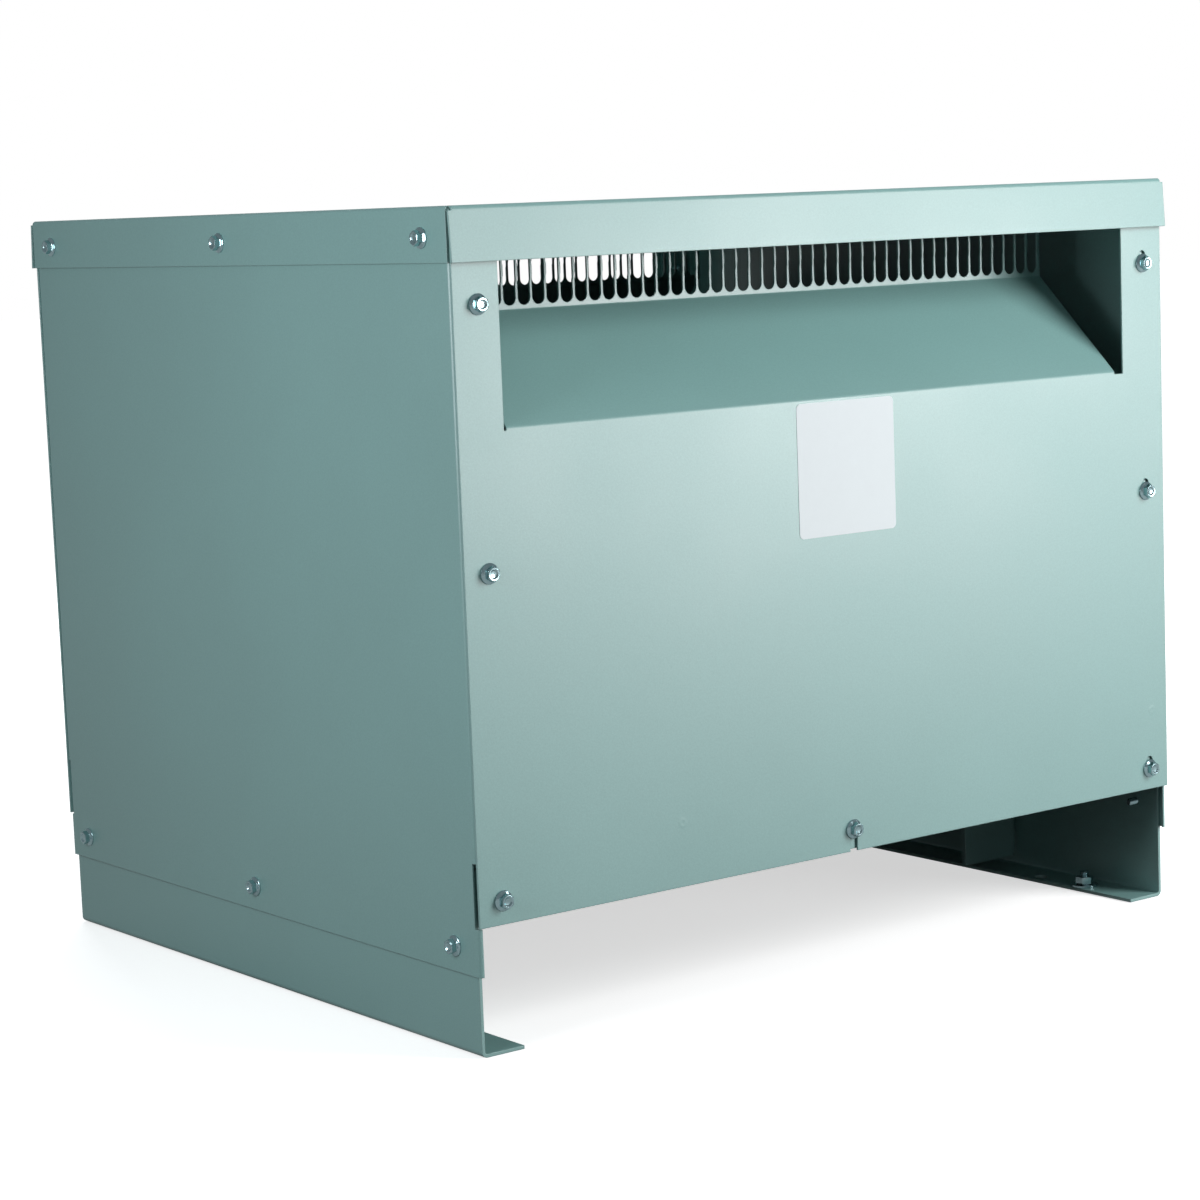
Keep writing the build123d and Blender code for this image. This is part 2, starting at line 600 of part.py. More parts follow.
def core_clamp(upper):
    """Front clamp: an angle with one leg on the core and its foot turned outwards."""
    foot_z = CORE_TOP if upper else CLAMP_BOTTOM
    leg_z = foot_z - CLAMP_LEG if upper else foot_z + CLAMP_LEG
    thickness = CLAMP_T if upper else -CLAMP_T
    line = [(CORE_FACE, leg_z), (CORE_FACE, foot_z), (CORE_FACE - CLAMP_FOOT, foot_z)]
    half = CORE_WIDTH / 2 + CLAMP_OVERHANG
    clamp = folded_along_x(line, thickness, CLAMP_BEND, (CORE_X - half, CORE_X + half))
    clamp = drilled_for_core(clamp, sorted((leg_z, foot_z)))
    bolts = panel_bolt_xs()
    if not upper:
        bolts = bolts + [CORE_X - PAD_X, CORE_X + PAD_X]
    for x in bolts:
        clamp -= through_hole(BOLT_D + BOLT_CLEARANCE, CLAMP_T, (x, PAD_Y, foot_z), "Z")
    return clamp


def panel_bolt_xs():
    """Places across the core where the terminal panel is bolted to the clamps."""
    reach = TERMINAL_PANEL_WIDTH / 2 - PANEL_BOLT_INSET
    return [CORE_X - reach, CORE_X + reach]


def coil_ring(in_x, in_y, build, corner, z, height):
    """A winding of rectangular plan around the centre leg, with rounded corners."""
    outer = RectangleRounded(2 * (in_x + build), 2 * (in_y + build), corner + build)
    inner = RectangleRounded(2 * in_x, 2 * in_y, corner)
    return Pos(CORE_X, 0, z) * extrude(outer - inner, amount=height)


def coil_former():
    """Insulating tube that slips over the centre leg and carries both coils."""
    return coil_ring(
        CORE_LEG + FORMER_GAP,
        CORE_STACK / 2 + FORMER_GAP,
        FORMER_T,
        FORMER_CORNER,
        WINDOW_BOTTOM,
        WINDOW_HEIGHT,
    )


def coil(z):
    """One of the two equal coils, between the ends of the windows and the shunts."""
    return coil_ring(COIL_IN_X, COIL_IN_Y, COIL_BUILD, COIL_CORNER, z, COIL_HEIGHT)


def magnetic_shunt():
    """Pack of steel strips in the left window, between the two coils."""
    outer = CORE_X - CORE_WIDTH / 2 + CORE_LEG
    inner = CORE_X - COIL_IN_X - COIL_GAP
    return block((outer, inner), (CORE_FACE, -CORE_FACE), (SHUNT_Z, SHUNT_Z + SHUNT_HEIGHT))


def capacitor_tray():
    """Shelf from the left rail's top to the beams, with a stepped right edge."""
    left = RAIL_FACE + RAIL_T
    line = [
        (left, TRAY_TOP),
        (TRAY_RIGHT, TRAY_TOP),
        (TRAY_RIGHT, BEAM_TOP + TRAY_T),
        (TRAY_RIGHT + TRAY_FOOT, BEAM_TOP + TRAY_T),
    ]
    tray = folded_along_y(line, -TRAY_T, PANEL_BEND, (-TRAY_HALF, TRAY_HALF))
    tray = drilled_for_screws(tray, tray_screw_points(), PASS_CLEARANCE)
    return drilled_for_screws(tray, rack_screw_points(), TAPPED_CLEARANCE)


def tray_screw_points():
    """Screws that hold the tray on the left rail and on the two beams."""
    foot_x = TRAY_RIGHT + PANEL_BEND + FIT + SCREW_WASHER_D / 2
    rail_y = TRAY_HALF - RACK_FOOT / 2
    rail = [(LEFT + TRAY_SCREW_INSET, end * rail_y, TRAY_TOP) for end in (-1, 1)]
    return rail + [(foot_x, end * PAD_Y, BEAM_TOP + TRAY_T) for end in (1, -1)]


def rack_screw_points():
    """Screws that hold the feet of the rack on the tray."""
    y = TRAY_HALF - RACK_FOOT / 2
    return [(x, end * y, TRAY_TOP + TRAY_T) for x in CAN_X for end in (-1, 1)]


def drilled_for_screws(shape, points, clearance):
    """The shape with an upright hole for a screw at each point."""
    return shape - [rod(SCREW_D + clearance, 2 * SCREW_LENGTH, point, "Z") for point in points]


def capacitor_rack():
    """Bridge over the tray with a round hole for each capacitor."""
    top = TRAY_TOP + RACK_HEIGHT
    leg_y = TRAY_HALF - RACK_FOOT
    line = [
        (-TRAY_HALF, TRAY_TOP + TRAY_T),
        (-leg_y, TRAY_TOP + TRAY_T),
        (-leg_y, top),
        (leg_y, top),
        (leg_y, TRAY_TOP + TRAY_T),
        (TRAY_HALF, TRAY_TOP + TRAY_T),
    ]
    half = CAN_D / 2 + RACK_MARGIN
    rack = folded_along_x(line, -TRAY_T, PANEL_BEND, (CAN_X[0] - half, CAN_X[-1] + half))
    for x in CAN_X:
        for y in CAN_Y:
            rack -= through_hole(CAN_D + RACK_HOLE_GAP, TRAY_T, (x, y, top), "Z")
    return drilled_for_screws(rack, rack_screw_points(), PASS_CLEARANCE)


def capacitor():
    """Round can with a rolled rim and two terminals, standing at the origin."""
    can = rod(CAN_D, CAN_HEIGHT, (0, 0, CAN_HEIGHT / 2), "Z")
    can -= rod(CAN_D - 2 * CAN_RIM, 2 * CAN_RIM, (0, 0, CAN_HEIGHT), "Z")
    for side in (-1, 1):
        top = CAN_HEIGHT + TERMINAL_HEIGHT
        can += rod(TERMINAL_D, top, (side * TERMINAL_SPACING / 2, 0, top / 2), "Z")
    return can


def bus(reach_x, reach_y, joined_y):
    """Two strips along rows of capacitor terminals, joined by a third across them."""
    middle = (CAN_X[0] + CAN_X[-1]) / 2
    half = BUS_WIDTH / 2
    z = (BUS_Z, BUS_Z + BUS_T)
    strips = [
        block((x - half, x + half), (-reach_y[0], reach_y[1]), z)
        for x in (middle - reach_x, middle + reach_x)
    ]
    joint = block((middle - reach_x, middle + reach_x), (joined_y - half, joined_y + half), z)
    return joint + strips


def buses():
    """Inner bus joined at the front, and outer bus joined behind the last row."""
    end = CAN_Y[-1] + BUS_WIDTH
    pitch = (CAN_X[-1] - CAN_X[0]) / 2
    inner = bus(pitch - TERMINAL_SPACING / 2, (end, end), -end + BUS_WIDTH / 2)
    outer_end = end + BUS_STEP
    outer = bus(pitch + TERMINAL_SPACING / 2, (end, outer_end), outer_end - BUS_WIDTH / 2)
    return [inner, outer]


def stud_xs():
    """Places of the terminal studs across the block."""
    return [CORE_X + STUD_PITCH * (stud - (STUD_COUNT - 1) / 2) for stud in range(STUD_COUNT)]


def terminal_panel():
    """Folded plate in front of the coils, bolted to the feet of the core clamps."""
    foot = CLAMP_FOLD_END - FIT
    line = [
        (foot, CORE_BOTTOM),
        (TERMINAL_FACE, CORE_BOTTOM),
        (TERMINAL_FACE, CORE_TOP + TERMINAL_PANEL_T),
        (foot, CORE_TOP + TERMINAL_PANEL_T),
    ]
    half = TERMINAL_PANEL_WIDTH / 2
    panel = folded_along_x(line, -TERMINAL_PANEL_T, PANEL_BEND, (CORE_X - half, CORE_X + half))
    for x in panel_bolt_xs():
        for z in (CORE_BOTTOM, CORE_TOP):
            panel -= through_hole(BOLT_D + BOLT_CLEARANCE, CLAMP_T, (x, PAD_Y, z), "Z")
    xs = stud_xs()
    margin = LEAD_D / 2 + LEAD_WINDOW_MARGIN
    for z in lead_heights():
        window_x = (xs[0] - margin, xs[-1] + margin)
        window_y = (TERMINAL_FACE - LEAD_D, TERMINAL_FACE + LEAD_D)
        panel -= block(window_x, window_y, (z - margin, z + margin))
    return panel


def terminal_block():
    """Moulded block with a barrier on each side of every stud."""
    base = block(
        (CORE_X - BLOCK_WIDTH / 2, CORE_X + BLOCK_WIDTH / 2),
        (TERMINAL_FACE - BLOCK_BASE, TERMINAL_FACE),
        (BLOCK_Z, BLOCK_Z + BLOCK_HEIGHT),
    )
    for stud in range(STUD_COUNT + 1):
        x = CORE_X + STUD_PITCH * (stud - STUD_COUNT / 2)
        base += block(
            (x - BARRIER_T / 2, x + BARRIER_T / 2),
            (TERMINAL_FACE - BLOCK_BASE - BARRIER_HEIGHT, TERMINAL_FACE - BLOCK_BASE),
            (BLOCK_Z, BLOCK_Z + BLOCK_HEIGHT),
        )
    return base


def terminal_stud(x):
    """Screwed stud on the block with its nut, as one piece."""
    face = TERMINAL_FACE - BLOCK_BASE
    centre_z = BLOCK_Z + BLOCK_HEIGHT / 2
    stud = rod(BOLT_D, STUD_LENGTH, (x, face - STUD_LENGTH / 2, centre_z), "Y")
    nut = Pos(x, face, centre_z) * Rot(*HEAD_FRONT) * hexagon(BOLT_HEX, NUT_HEIGHT)
    return stud + nut


def lead_heights():
    """Heights at which the leads leave the two coils."""
    return (PRIMARY_Z + COIL_HEIGHT / 2, SECONDARY_Z + COIL_HEIGHT / 2 - BLOCK_HEIGHT / 2)


def coil_lead(x, z):
    """Insulated lead from a coil, through the terminal panel and up to its stud."""
    out = TERMINAL_FACE - LEAD_REACH
    path = FilletPolyline((x, COIL_FACE, z), (x, out, z), (x, out, BLOCK_Z), radius=LEAD_BEND)
    return sweep(Plane((x, COIL_FACE, z), z_dir=(0, -1, 0)) * Circle(LEAD_D / 2), path=path)


def capacitor_lead(start_x, layer, end_x):
    """Insulated lead from the front of the upper coil across and down to a bus."""
    z = SECONDARY_Z + COIL_HEIGHT / 2 + layer * CAP_LEAD_PITCH
    out = COIL_FACE - CAP_LEAD_REACH - layer * CAP_LEAD_PITCH
    end = -CAN_Y[-1] - BUS_WIDTH / 2
    points = [
        (start_x, COIL_FACE, z),
        (start_x, out, z),
        (end_x, out, z),
        (end_x, end, z),
        (end_x, end, BUS_Z + BUS_T),
    ]
    path = FilletPolyline(*points, radius=LEAD_BEND)
    return sweep(Plane(points[0], z_dir=(0, -1, 0)) * Circle(LEAD_D / 2), path=path)


def label():
    """Bare adhesive label on the front panel."""
    outline = RectangleRounded(LABEL_WIDTH, LABEL_HEIGHT, LABEL_CORNER)
    centre = (LABEL_SHIFT, FRONT, LABEL_BOTTOM + LABEL_HEIGHT / 2)
    return Pos(*centre) * extrude(Plane.XZ * outline, amount=LABEL_T)


def save(name, shapes):
    """Writes one piece, or a group of separate pieces, to its own file."""
    solids = [solid for shape in shapes for solid in shape.solids()]
    piece = solids[0] if len(solids) == 1 else Compound(solids)
    export_step(piece, f"parts/{name}.step")


def save_cabinet():
    """Cover, panels, rails and cross-members."""
    save("top_cover", [top_cover()])
    front = vent_panel()
    save("front_panel", [front])
    save("rear_panel", [mirror(front, about=Plane.XZ)])
    left, right = both_sides(side_panel())
    save("left_side_panel", [left])
    save("right_side_panel", [right])
    left, right = both_sides(base_rail())
    stud = (-LEFT - HOLD_DOWN_INSET, FRONT + GROUND_STUD_SETBACK, 0)
    save("left_base_rail", [drilled_for_screws(left, tray_screw_points()[:2], TAPPED_CLEARANCE)])
    save("right_base_rail", [right - through_hole(BOLT_D, RAIL_T, stud, "Z")])
    front, rear = front_and_rear(cross_member())
    save("front_cross_member", [front])
    save("rear_cross_member", [rear])
    save("rating_label", [label()])


def save_ground_stud():
    """Ground stud in the right rail's lower flange, with its washer and nut."""
    x = -LEFT - HOLD_DOWN_INSET
    y = FRONT + GROUND_STUD_SETBACK
    top = RAIL_T + WASHER_T + NUT_HEIGHT + GROUND_STUD_TAIL
    save("ground_stud", [rod(BOLT_D, top, (x, y, top / 2), "Z")])
    washer = rod(WASHER_D, WASHER_T, (x, y, RAIL_T + WASHER_T / 2), "Z")
    washer -= through_hole(BOLT_D + BOLT_CLEARANCE, WASHER_T, (x, y, RAIL_T), "Z")
    save("ground_stud_washer", [washer])
    nut = hexagon_nut(BOLT_D, BOLT_HEX, NUT_HEIGHT)
    save("ground_stud_nut", placed(nut, [(x, y, RAIL_T + WASHER_T)], HEAD_DOWN))


def save_core():
    """Cleats, beams, pads, core, clamps, coils and shunts."""
    save("core_cleats", [four for two in front_and_rear(core_cleat()) for four in both_sides(two)])
    save("core_beams", front_and_rear(core_beam()))
    pads = [vibration_pad(side) for side in (-1, 1)]
    save("vibration_pads", [four for pad in pads for four in front_and_rear(pad)])
    save("core_laminations", [core_laminations()])
    save("lower_core_clamps", front_and_rear(core_clamp(upper=False)))
    save("upper_core_clamps", front_and_rear(core_clamp(upper=True)))
    save("coil_former", [coil_former()])
    save("primary_coil", [coil(PRIMARY_Z)])
    save("secondary_coil", [coil(SECONDARY_Z)])
    shunt = magnetic_shunt()
    about_core = Plane.YZ.offset(CORE_X)
    save("magnetic_shunts", [shunt, mirror(shunt, about=about_core)])


def save_electrics():
    """Capacitors with their tray, rack and bus bars, and the terminal panel."""
    save("capacitor_tray", [capacitor_tray()])
    save("capacitor_rack", [capacitor_rack()])
    can = capacitor()
    save("capacitors", [Pos(x, y, TRAY_TOP) * can for x in CAN_X for y in CAN_Y])
    save("capacitor_bus_bars", buses())
    inner_x = (CAN_X[0] + CAN_X[-1]) / 2
    outer_x = CAN_X[-1] + TERMINAL_SPACING / 2
    left_exit = CORE_X - COIL_IN_X - COIL_BUILD + CAP_LEAD_INSET
    outward = capacitor_lead(left_exit + CAP_LEAD_PITCH, 1, outer_x)
    save("capacitor_leads", [capacitor_lead(left_exit, 0, inner_x), outward])
    save("terminal_panel", [terminal_panel()])
    save("terminal_block", [terminal_block()])
    save("terminal_studs", [terminal_stud(x) for x in stud_xs()])
    heights = lead_heights()
    leads = [coil_lead(x, heights[stud % 2]) for stud, x in enumerate(stud_xs())]
    save("coil_leads", leads)


def save_screws():
    """Washer-head screws of the cover and the four panels."""
    screw = washer_head_screw()
    edge = WIDTH / 2 - SCREW_INSET
    panel_points = [(x, z) for x in (-edge, edge) for z in SCREW_HEIGHTS] + [(0, SCREW_HEIGHTS[0])]
    save("front_panel_screws", placed(screw, [(x, FRONT, z) for x, z in panel_points], HEAD_FRONT))
    save("rear_panel_screws", placed(screw, [(x, -FRONT, z) for x, z in panel_points], HEAD_REAR))
    left_points = [(LEFT, y, SIDE_SCREW_Z) for y in SIDE_SCREW_YS]
    right_points = [(-LEFT, y, SIDE_SCREW_Z) for y in SIDE_SCREW_YS]
    save("left_side_screws", placed(screw, left_points, HEAD_LEFT))
    save("right_side_screws", placed(screw, right_points, HEAD_RIGHT))
    face = LEFT - FIT - PANEL_T
    cover_left = placed(screw, [(face, y, COVER_SCREW_Z) for y in SIDE_SCREW_YS], HEAD_LEFT)
    cover_right = placed(screw, [(-face, y, COVER_SCREW_Z) for y in SIDE_SCREW_YS], HEAD_RIGHT)
    save("cover_screws", cover_left + cover_right)
    save("capacitor_screws", placed(screw, tray_screw_points() + rack_screw_points(), HEAD_UP))


def save_bolts():
    """Bolts and nuts of the base frame, the core's feet and the core itself."""
    nut = hexagon_nut(BOLT_D, BOLT_HEX, NUT_HEIGHT)
    sides = [(x, y) for x in (-CROSS_BOLT_X, CROSS_BOLT_X) for y in (CROSS_BOLT_Y, -CROSS_BOLT_Y)]
    grip = CROSS_T + RAIL_T
    bolt = hexagon_bolt(BOLT_D, BOLT_HEX, BOLT_HEAD, grip + NUT_HEIGHT + BOLT_TAIL)
    save("cross_member_bolts", placed(bolt, [(x, y, CROSS_TOP) for x, y in sides], HEAD_UP))
    save("cross_member_nuts", placed(nut, [(x, y, CROSS_TOP - grip) for x, y in sides], HEAD_UP))

    grip = CLEAT_T + BEAM_T
    bolt = hexagon_bolt(BOLT_D, BOLT_HEX, BOLT_HEAD, grip + NUT_HEIGHT + BOLT_TAIL)
    ends = [(side * x, z) for side in (-1, 1) for x, z in beam_bolt_centres()]
    front = placed(bolt, [(x, CLEAT_FACE, z) for x, z in ends], HEAD_FRONT)
    rear = placed(bolt, [(x, -CLEAT_FACE, z) for x, z in ends], HEAD_REAR)
    save("beam_bolts", front + rear)
    back = CLEAT_FACE + grip
    front = placed(nut, [(x, back, z) for x, z in ends], HEAD_FRONT)
    rear = placed(nut, [(x, -back, z) for x, z in ends], HEAD_REAR)
    save("beam_nuts", front + rear)

    grip = CLAMP_T + PAD_THICKNESS + BEAM_T
    bolt = hexagon_bolt(BOLT_D, BOLT_HEX, BOLT_HEAD, grip + NUT_HEIGHT + BOLT_TAIL)
    feet = [(CORE_X + side * PAD_X, end * PAD_Y) for side in (-1, 1) for end in (-1, 1)]
    save("core_foot_bolts", placed(bolt, [(x, y, CORE_BOTTOM) for x, y in feet], HEAD_UP))
    save("core_foot_nuts", placed(nut, [(x, y, BEAM_TOP - BEAM_T) for x, y in feet], HEAD_UP))

    grip = TERMINAL_PANEL_T + CLAMP_T
    bolt = hexagon_bolt(BOLT_D, BOLT_HEX, BOLT_HEAD, grip + NUT_HEIGHT + BOLT_TAIL)
    tops = [(x, z + TERMINAL_PANEL_T) for x in panel_bolt_xs() for z in (CORE_BOTTOM, CORE_TOP)]
    save("terminal_panel_bolts", placed(bolt, [(x, PAD_Y, z) for x, z in tops], HEAD_UP))
    save("terminal_panel_nuts", placed(nut, [(x, PAD_Y, z - grip) for x, z in tops], HEAD_UP))

    grip = CORE_STACK + 2 * CLAMP_T
    bolt = hexagon_bolt(CORE_BOLT_D, CORE_BOLT_HEX, BOLT_HEAD, grip + CORE_BOLT_D + BOLT_TAIL)
    face = CORE_FACE - CLAMP_T
    centres = core_bolt_centres()
    save("core_bolts", placed(bolt, [(x, face, z) for x, z in centres], HEAD_FRONT))
    nut = hexagon_nut(CORE_BOLT_D, CORE_BOLT_HEX, CORE_BOLT_D)
    save("core_bolt_nuts", placed(nut, [(x, -face, z) for x, z in centres], HEAD_FRONT))


def main():
    os.makedirs("parts", exist_ok=True)
    save_cabinet()
    save_ground_stud()
    save_core()
    save_electrics()
    save_screws()
    save_bolts()


main()
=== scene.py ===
# %% [markdown]
# A ventilated power conditioner. Its cabinet is folded steel sheet in satin grey-green
# enamel, held by zinc-plated screws. The solids are ready made and never change. This script
# gives each of them its finish, puts finer fasteners, cans and coils in the places of the
# plain ones, and photographs the cabinet in a plain white studio.

# %% Load the solids
import json
import math

import bpy
import numpy as np
from mathutils import Matrix, Vector


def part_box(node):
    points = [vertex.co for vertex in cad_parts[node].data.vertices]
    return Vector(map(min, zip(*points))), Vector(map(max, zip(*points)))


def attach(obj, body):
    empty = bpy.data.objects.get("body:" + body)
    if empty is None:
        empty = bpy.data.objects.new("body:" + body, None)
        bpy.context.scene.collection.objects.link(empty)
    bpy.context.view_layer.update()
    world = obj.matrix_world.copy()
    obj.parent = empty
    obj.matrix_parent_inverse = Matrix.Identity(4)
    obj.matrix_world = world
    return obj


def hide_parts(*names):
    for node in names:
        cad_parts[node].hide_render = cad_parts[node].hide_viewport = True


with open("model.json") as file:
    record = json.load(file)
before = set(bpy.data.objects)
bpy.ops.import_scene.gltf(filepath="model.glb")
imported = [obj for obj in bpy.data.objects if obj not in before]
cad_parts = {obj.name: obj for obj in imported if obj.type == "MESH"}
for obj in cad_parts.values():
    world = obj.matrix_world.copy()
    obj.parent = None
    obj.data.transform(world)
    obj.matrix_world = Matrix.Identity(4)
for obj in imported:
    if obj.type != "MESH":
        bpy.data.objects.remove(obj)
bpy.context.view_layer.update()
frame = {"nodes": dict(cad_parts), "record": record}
MM = 0.001


def in_mm(vector):
    """Metres, axis by axis, as rounded millimetres."""
    return [round(value / MM, 2) for value in vector]


# %% [markdown]
# The camera stands to the left of the cabinet at the height of its cover, so the top is
# seen edge-on. It could be placed by trial, but a wrong place and a wrong proportion look
# alike. So its place, heading and focal length were worked out from the vanishing points
# of the cabinet's edges. A camera's own axes are right, up and backwards, and its matrix is
# built from a heading and then rolled about it.

# %% Place the camera
PHOTO_PX = 1200
FOCAL_PX = 3071.4
CAMERA_PLACE = Vector((-1.5106, -2.0003, 0.5856))
CAMERA_YAW = math.radians(36.98)  # from +Y towards +X
CAMERA_PITCH = math.radians(-7.41)
CAMERA_ROLL = -0.0386
CLIP_END = 100.0  # metres, past the far edge of the floor


def camera_matrix(place, yaw, pitch, roll):
    """Camera frame from its heading: right is heading x up, and both turn by the roll."""
    level = math.cos(pitch)
    heading = Vector((math.sin(yaw) * level, math.cos(yaw) * level, math.sin(pitch)))
    right = heading.cross(Vector((0, 0, 1))).normalized()
    up = right.cross(heading)
    rolled_right = right * math.cos(roll) + up * math.sin(roll)
    rolled_up = up * math.cos(roll) - right * math.sin(roll)
    turn = Matrix((rolled_right, rolled_up, -heading)).transposed()
    return Matrix.Translation(place) @ turn.to_4x4()


lens = bpy.data.cameras.new("camera")
lens.lens = FOCAL_PX / PHOTO_PX * lens.sensor_width
lens.clip_end = CLIP_END
camera = bpy.data.objects.new("camera", lens)
camera.matrix_world = camera_matrix(CAMERA_PLACE, CAMERA_YAW, CAMERA_PITCH, CAMERA_ROLL)
bpy.context.collection.objects.link(camera)
bpy.context.scene.camera = camera
bpy.context.scene.view_settings.view_transform = "Standard"
print("lens:", round(lens.lens, 1), "mm")

# %% [markdown]
# Every finish is a small graph of nodes. It could be drawn in the shader editor, but
# written out it can be read and repeated. These helpers keep that short: one adds a node
# and fills or links its inputs, and the others mix two colours, do one step of arithmetic
# on numbers or vectors, or carry a value from one range to another.

# %% Helpers for node graphs
VECTOR_TO_NUMBER = ("LENGTH", "DISTANCE", "DOT_PRODUCT")


def srgb(red, green, blue):
    """Linear colour from 0-255 values: each channel goes through the sRGB curve."""
    channels = np.array([red, green, blue]) / 255.0
    curve = np.where(channels <= 0.04045, channels / 12.92, ((channels + 0.055) / 1.055) ** 2.4)
    return (*[float(v) for v in curve], 1.0)


def add(tree, kind, inputs=None, **settings):
    """A new node. inputs maps a socket's name or number to a value or to another output."""
    made = tree.nodes.new(kind)
    for name, value in settings.items():
        setattr(made, name, value)
    for socket, value in (inputs or {}).items():
        if isinstance(value, bpy.types.NodeSocket):
            tree.links.new(value, made.inputs[socket])
        else:
            made.inputs[socket].default_value = value
    return made


def mix(tree, factor, first, second):
    """The colour between first and second, at factor."""
    inputs = {0: factor, 6: first, 7: second}
    return add(tree, "ShaderNodeMix", inputs, data_type="RGBA").outputs[2]


def sums(tree, operation, first, second=0.0):
    """The result of one step of arithmetic."""
    return add(tree, "ShaderNodeMath", {0: first, 1: second}, operation=operation).outputs[0]


def vectors(tree, operation, first, second=(0.0, 0.0, 0.0)):
    """The result of one step on vectors: a number if the step gives one, or a vector."""
    step = add(tree, "ShaderNodeVectorMath", {0: first, 1: second}, operation=operation)
    return step.outputs["Value" if operation in VECTOR_TO_NUMBER else "Vector"]


def spread(tree, value, low, high, to_low, to_high):
    """value carried from the range low-high to the range to_low-to_high, and held there."""
    inputs = {"Value": value, "From Min": low, "From Max": high}
    inputs.update({"To Min": to_low, "To Max": to_high})
    return add(tree, "ShaderNodeMapRange", inputs).outputs[0]


def between(tree, share, ends):
    """The value at a share, 0 to 1, of the way from one end to the other."""
    return spread(tree, share, 0.0, 1.0, *ends)


def object_place(tree):
    """The point of the surface, in metres in the object's own frame."""
    return add(tree, "ShaderNodeTexCoord").outputs["Object"]


PURE_WHITE = srgb(255, 255, 255)
print("mid grey in linear light:", round(srgb(128, 128, 128)[0], 3))

# %% [markdown]
# The studio is a white floor under a white sky. A curved paper sweep would do for one view,
# but its edge would show from behind. The camera sees the floor as white, and reflections
# see a share of that, so that the gloss isn't washed out. The light that the floor gives
# the cabinet is much weaker, and right under it reflections see no glow either, so that its
# open base stays dark, as it does in the photograph. The floor adds a share of plain light
# to what falls on it, and more of it far away. That hides the horizon and leaves a pale
# shadow.

# %% Build the floor
FLOOR_SIZE = 30.0
FLOOR_DROP = 0.3 * MM  # the floor lies this far below the rails
FLOOR_CORNERS = ((-1, -1), (1, -1), (1, 1), (-1, 1))
FLOOR_PAPER = srgb(228, 228, 228)
FLOOR_BOUNCE = srgb(52, 52, 51)
FLOOR_LIGHT = 0.62
FAR_FLOOR_LIGHT = 0.95
UNDER_CABINET = (0.36, 0.34, 1.0)  # half sizes of the floor where reflections see no glow: painted shade under the cabinet
SHADE_EDGE = (0.8, 1.15)  # where the dark ends, counted in those half sizes
FAR_FLOOR = (1.5, 7.0)  # where the floor's light starts and stops growing, counted likewise
MIRRORED_FLOOR = 0.30


def whiteness(tree, mirrored):
    """1 on camera and transmission rays, a share of it on glossy rays, and 0 on the rays
    that light the object."""
    path = add(tree, "ShaderNodeLightPath").outputs
    seen = sums(tree, "MAXIMUM", path["Is Camera Ray"], path["Is Transmission Ray"])
    glossy = sums(tree, "MULTIPLY", path["Is Glossy Ray"], mirrored)
    return sums(tree, "MAXIMUM", seen, glossy)


def floor_material():
    """White paper: bright to the camera, and darker to the light that it bounces back.
    The reach is the length of (place / half sizes of the cabinet's floor)."""
    material = bpy.data.materials.new("studio_floor")
    material.use_nodes = True
    tree = material.node_tree
    tree.nodes.clear()
    paper = add(tree, "ShaderNodeBsdfDiffuse", {"Color": FLOOR_PAPER})
    reach = vectors(tree, "LENGTH", vectors(tree, "DIVIDE", object_place(tree), UNDER_CABINET))
    # painted shade: right under the cabinet, reflections see no glow on the floor
    glow_outside_painted_shade = spread(tree, reach, *SHADE_EDGE, 0.0, 1.0)
    direct = add(tree, "ShaderNodeLightPath").outputs["Is Camera Ray"]
    glow = spread(tree, reach, *FAR_FLOOR, FLOOR_LIGHT, FAR_FLOOR_LIGHT)
    level = sums(tree, "MULTIPLY", sums(tree, "MAXIMUM", glow_outside_painted_shade, direct), glow)
    light = add(tree, "ShaderNodeEmission", {"Color": PURE_WHITE, "Strength": level})
    bright = add(tree, "ShaderNodeAddShader", {0: paper.outputs[0], 1: light.outputs[0]})
    bounce = add(tree, "ShaderNodeBsdfDiffuse", {"Color": FLOOR_BOUNCE})
    chosen = {0: whiteness(tree, MIRRORED_FLOOR), 1: bounce.outputs[0], 2: bright.outputs[0]}
    shader = add(tree, "ShaderNodeMixShader", chosen)
    add(tree, "ShaderNodeOutputMaterial", {"Surface": shader.outputs[0]})
    return material


half = FLOOR_SIZE / 2
corners = [(x * half, y * half, -FLOOR_DROP) for x, y in FLOOR_CORNERS]
floor_mesh = bpy.data.meshes.new("floor")
floor_mesh.from_pydata(corners, [], [(0, 1, 2, 3)])
floor_mesh.materials.append(floor_material())
floor = bpy.data.objects.new("floor", floor_mesh)
bpy.context.collection.objects.link(floor)
print("floor:", FLOOR_SIZE, "m wide")

# %% [markdown]
# The sky is one even colour. A dome could carry it, but the world has no edge and costs no
# mesh. It is white to the camera by the same helper as the floor, and faintly blue and weak
# as a light, so that the lamps set the shading.

# %% Build the sky
SKY_COLOUR = srgb(236, 244, 248)
SKY_LIGHT = 0.24
MIRRORED_SKY = 0.05

world = bpy.data.worlds.new("studio")
world.use_nodes = True
bpy.context.scene.world = world
sky = world.node_tree
sky.nodes.clear()
sky_white = whiteness(sky, MIRRORED_SKY)
shade = mix(sky, sky_white, SKY_COLOUR, PURE_WHITE)
strength = between(sky, sky_white, (SKY_LIGHT, 1.0))
backdrop = add(sky, "ShaderNodeBackground", {"Color": shade, "Strength": strength})
add(sky, "ShaderNodeOutputWorld", {"Surface": backdrop.outputs[0]})
print("sky: strength", SKY_LIGHT, "on the cabinet")

# %% [markdown]
# The light comes from five softboxes. One picture of a studio round the scene could give it
# too, but lamps can be placed and weighed one by one. The key lamp stands low, in front and
# to the right, where the front of the cabinet mirrors it towards the camera, and gives the
# pale sheen that grows towards the cover. A small one on the left keeps the side darker,
# with its light coming from the front. The other three only light: they aren't mirrored, so
# the gloss stays calm from every side.

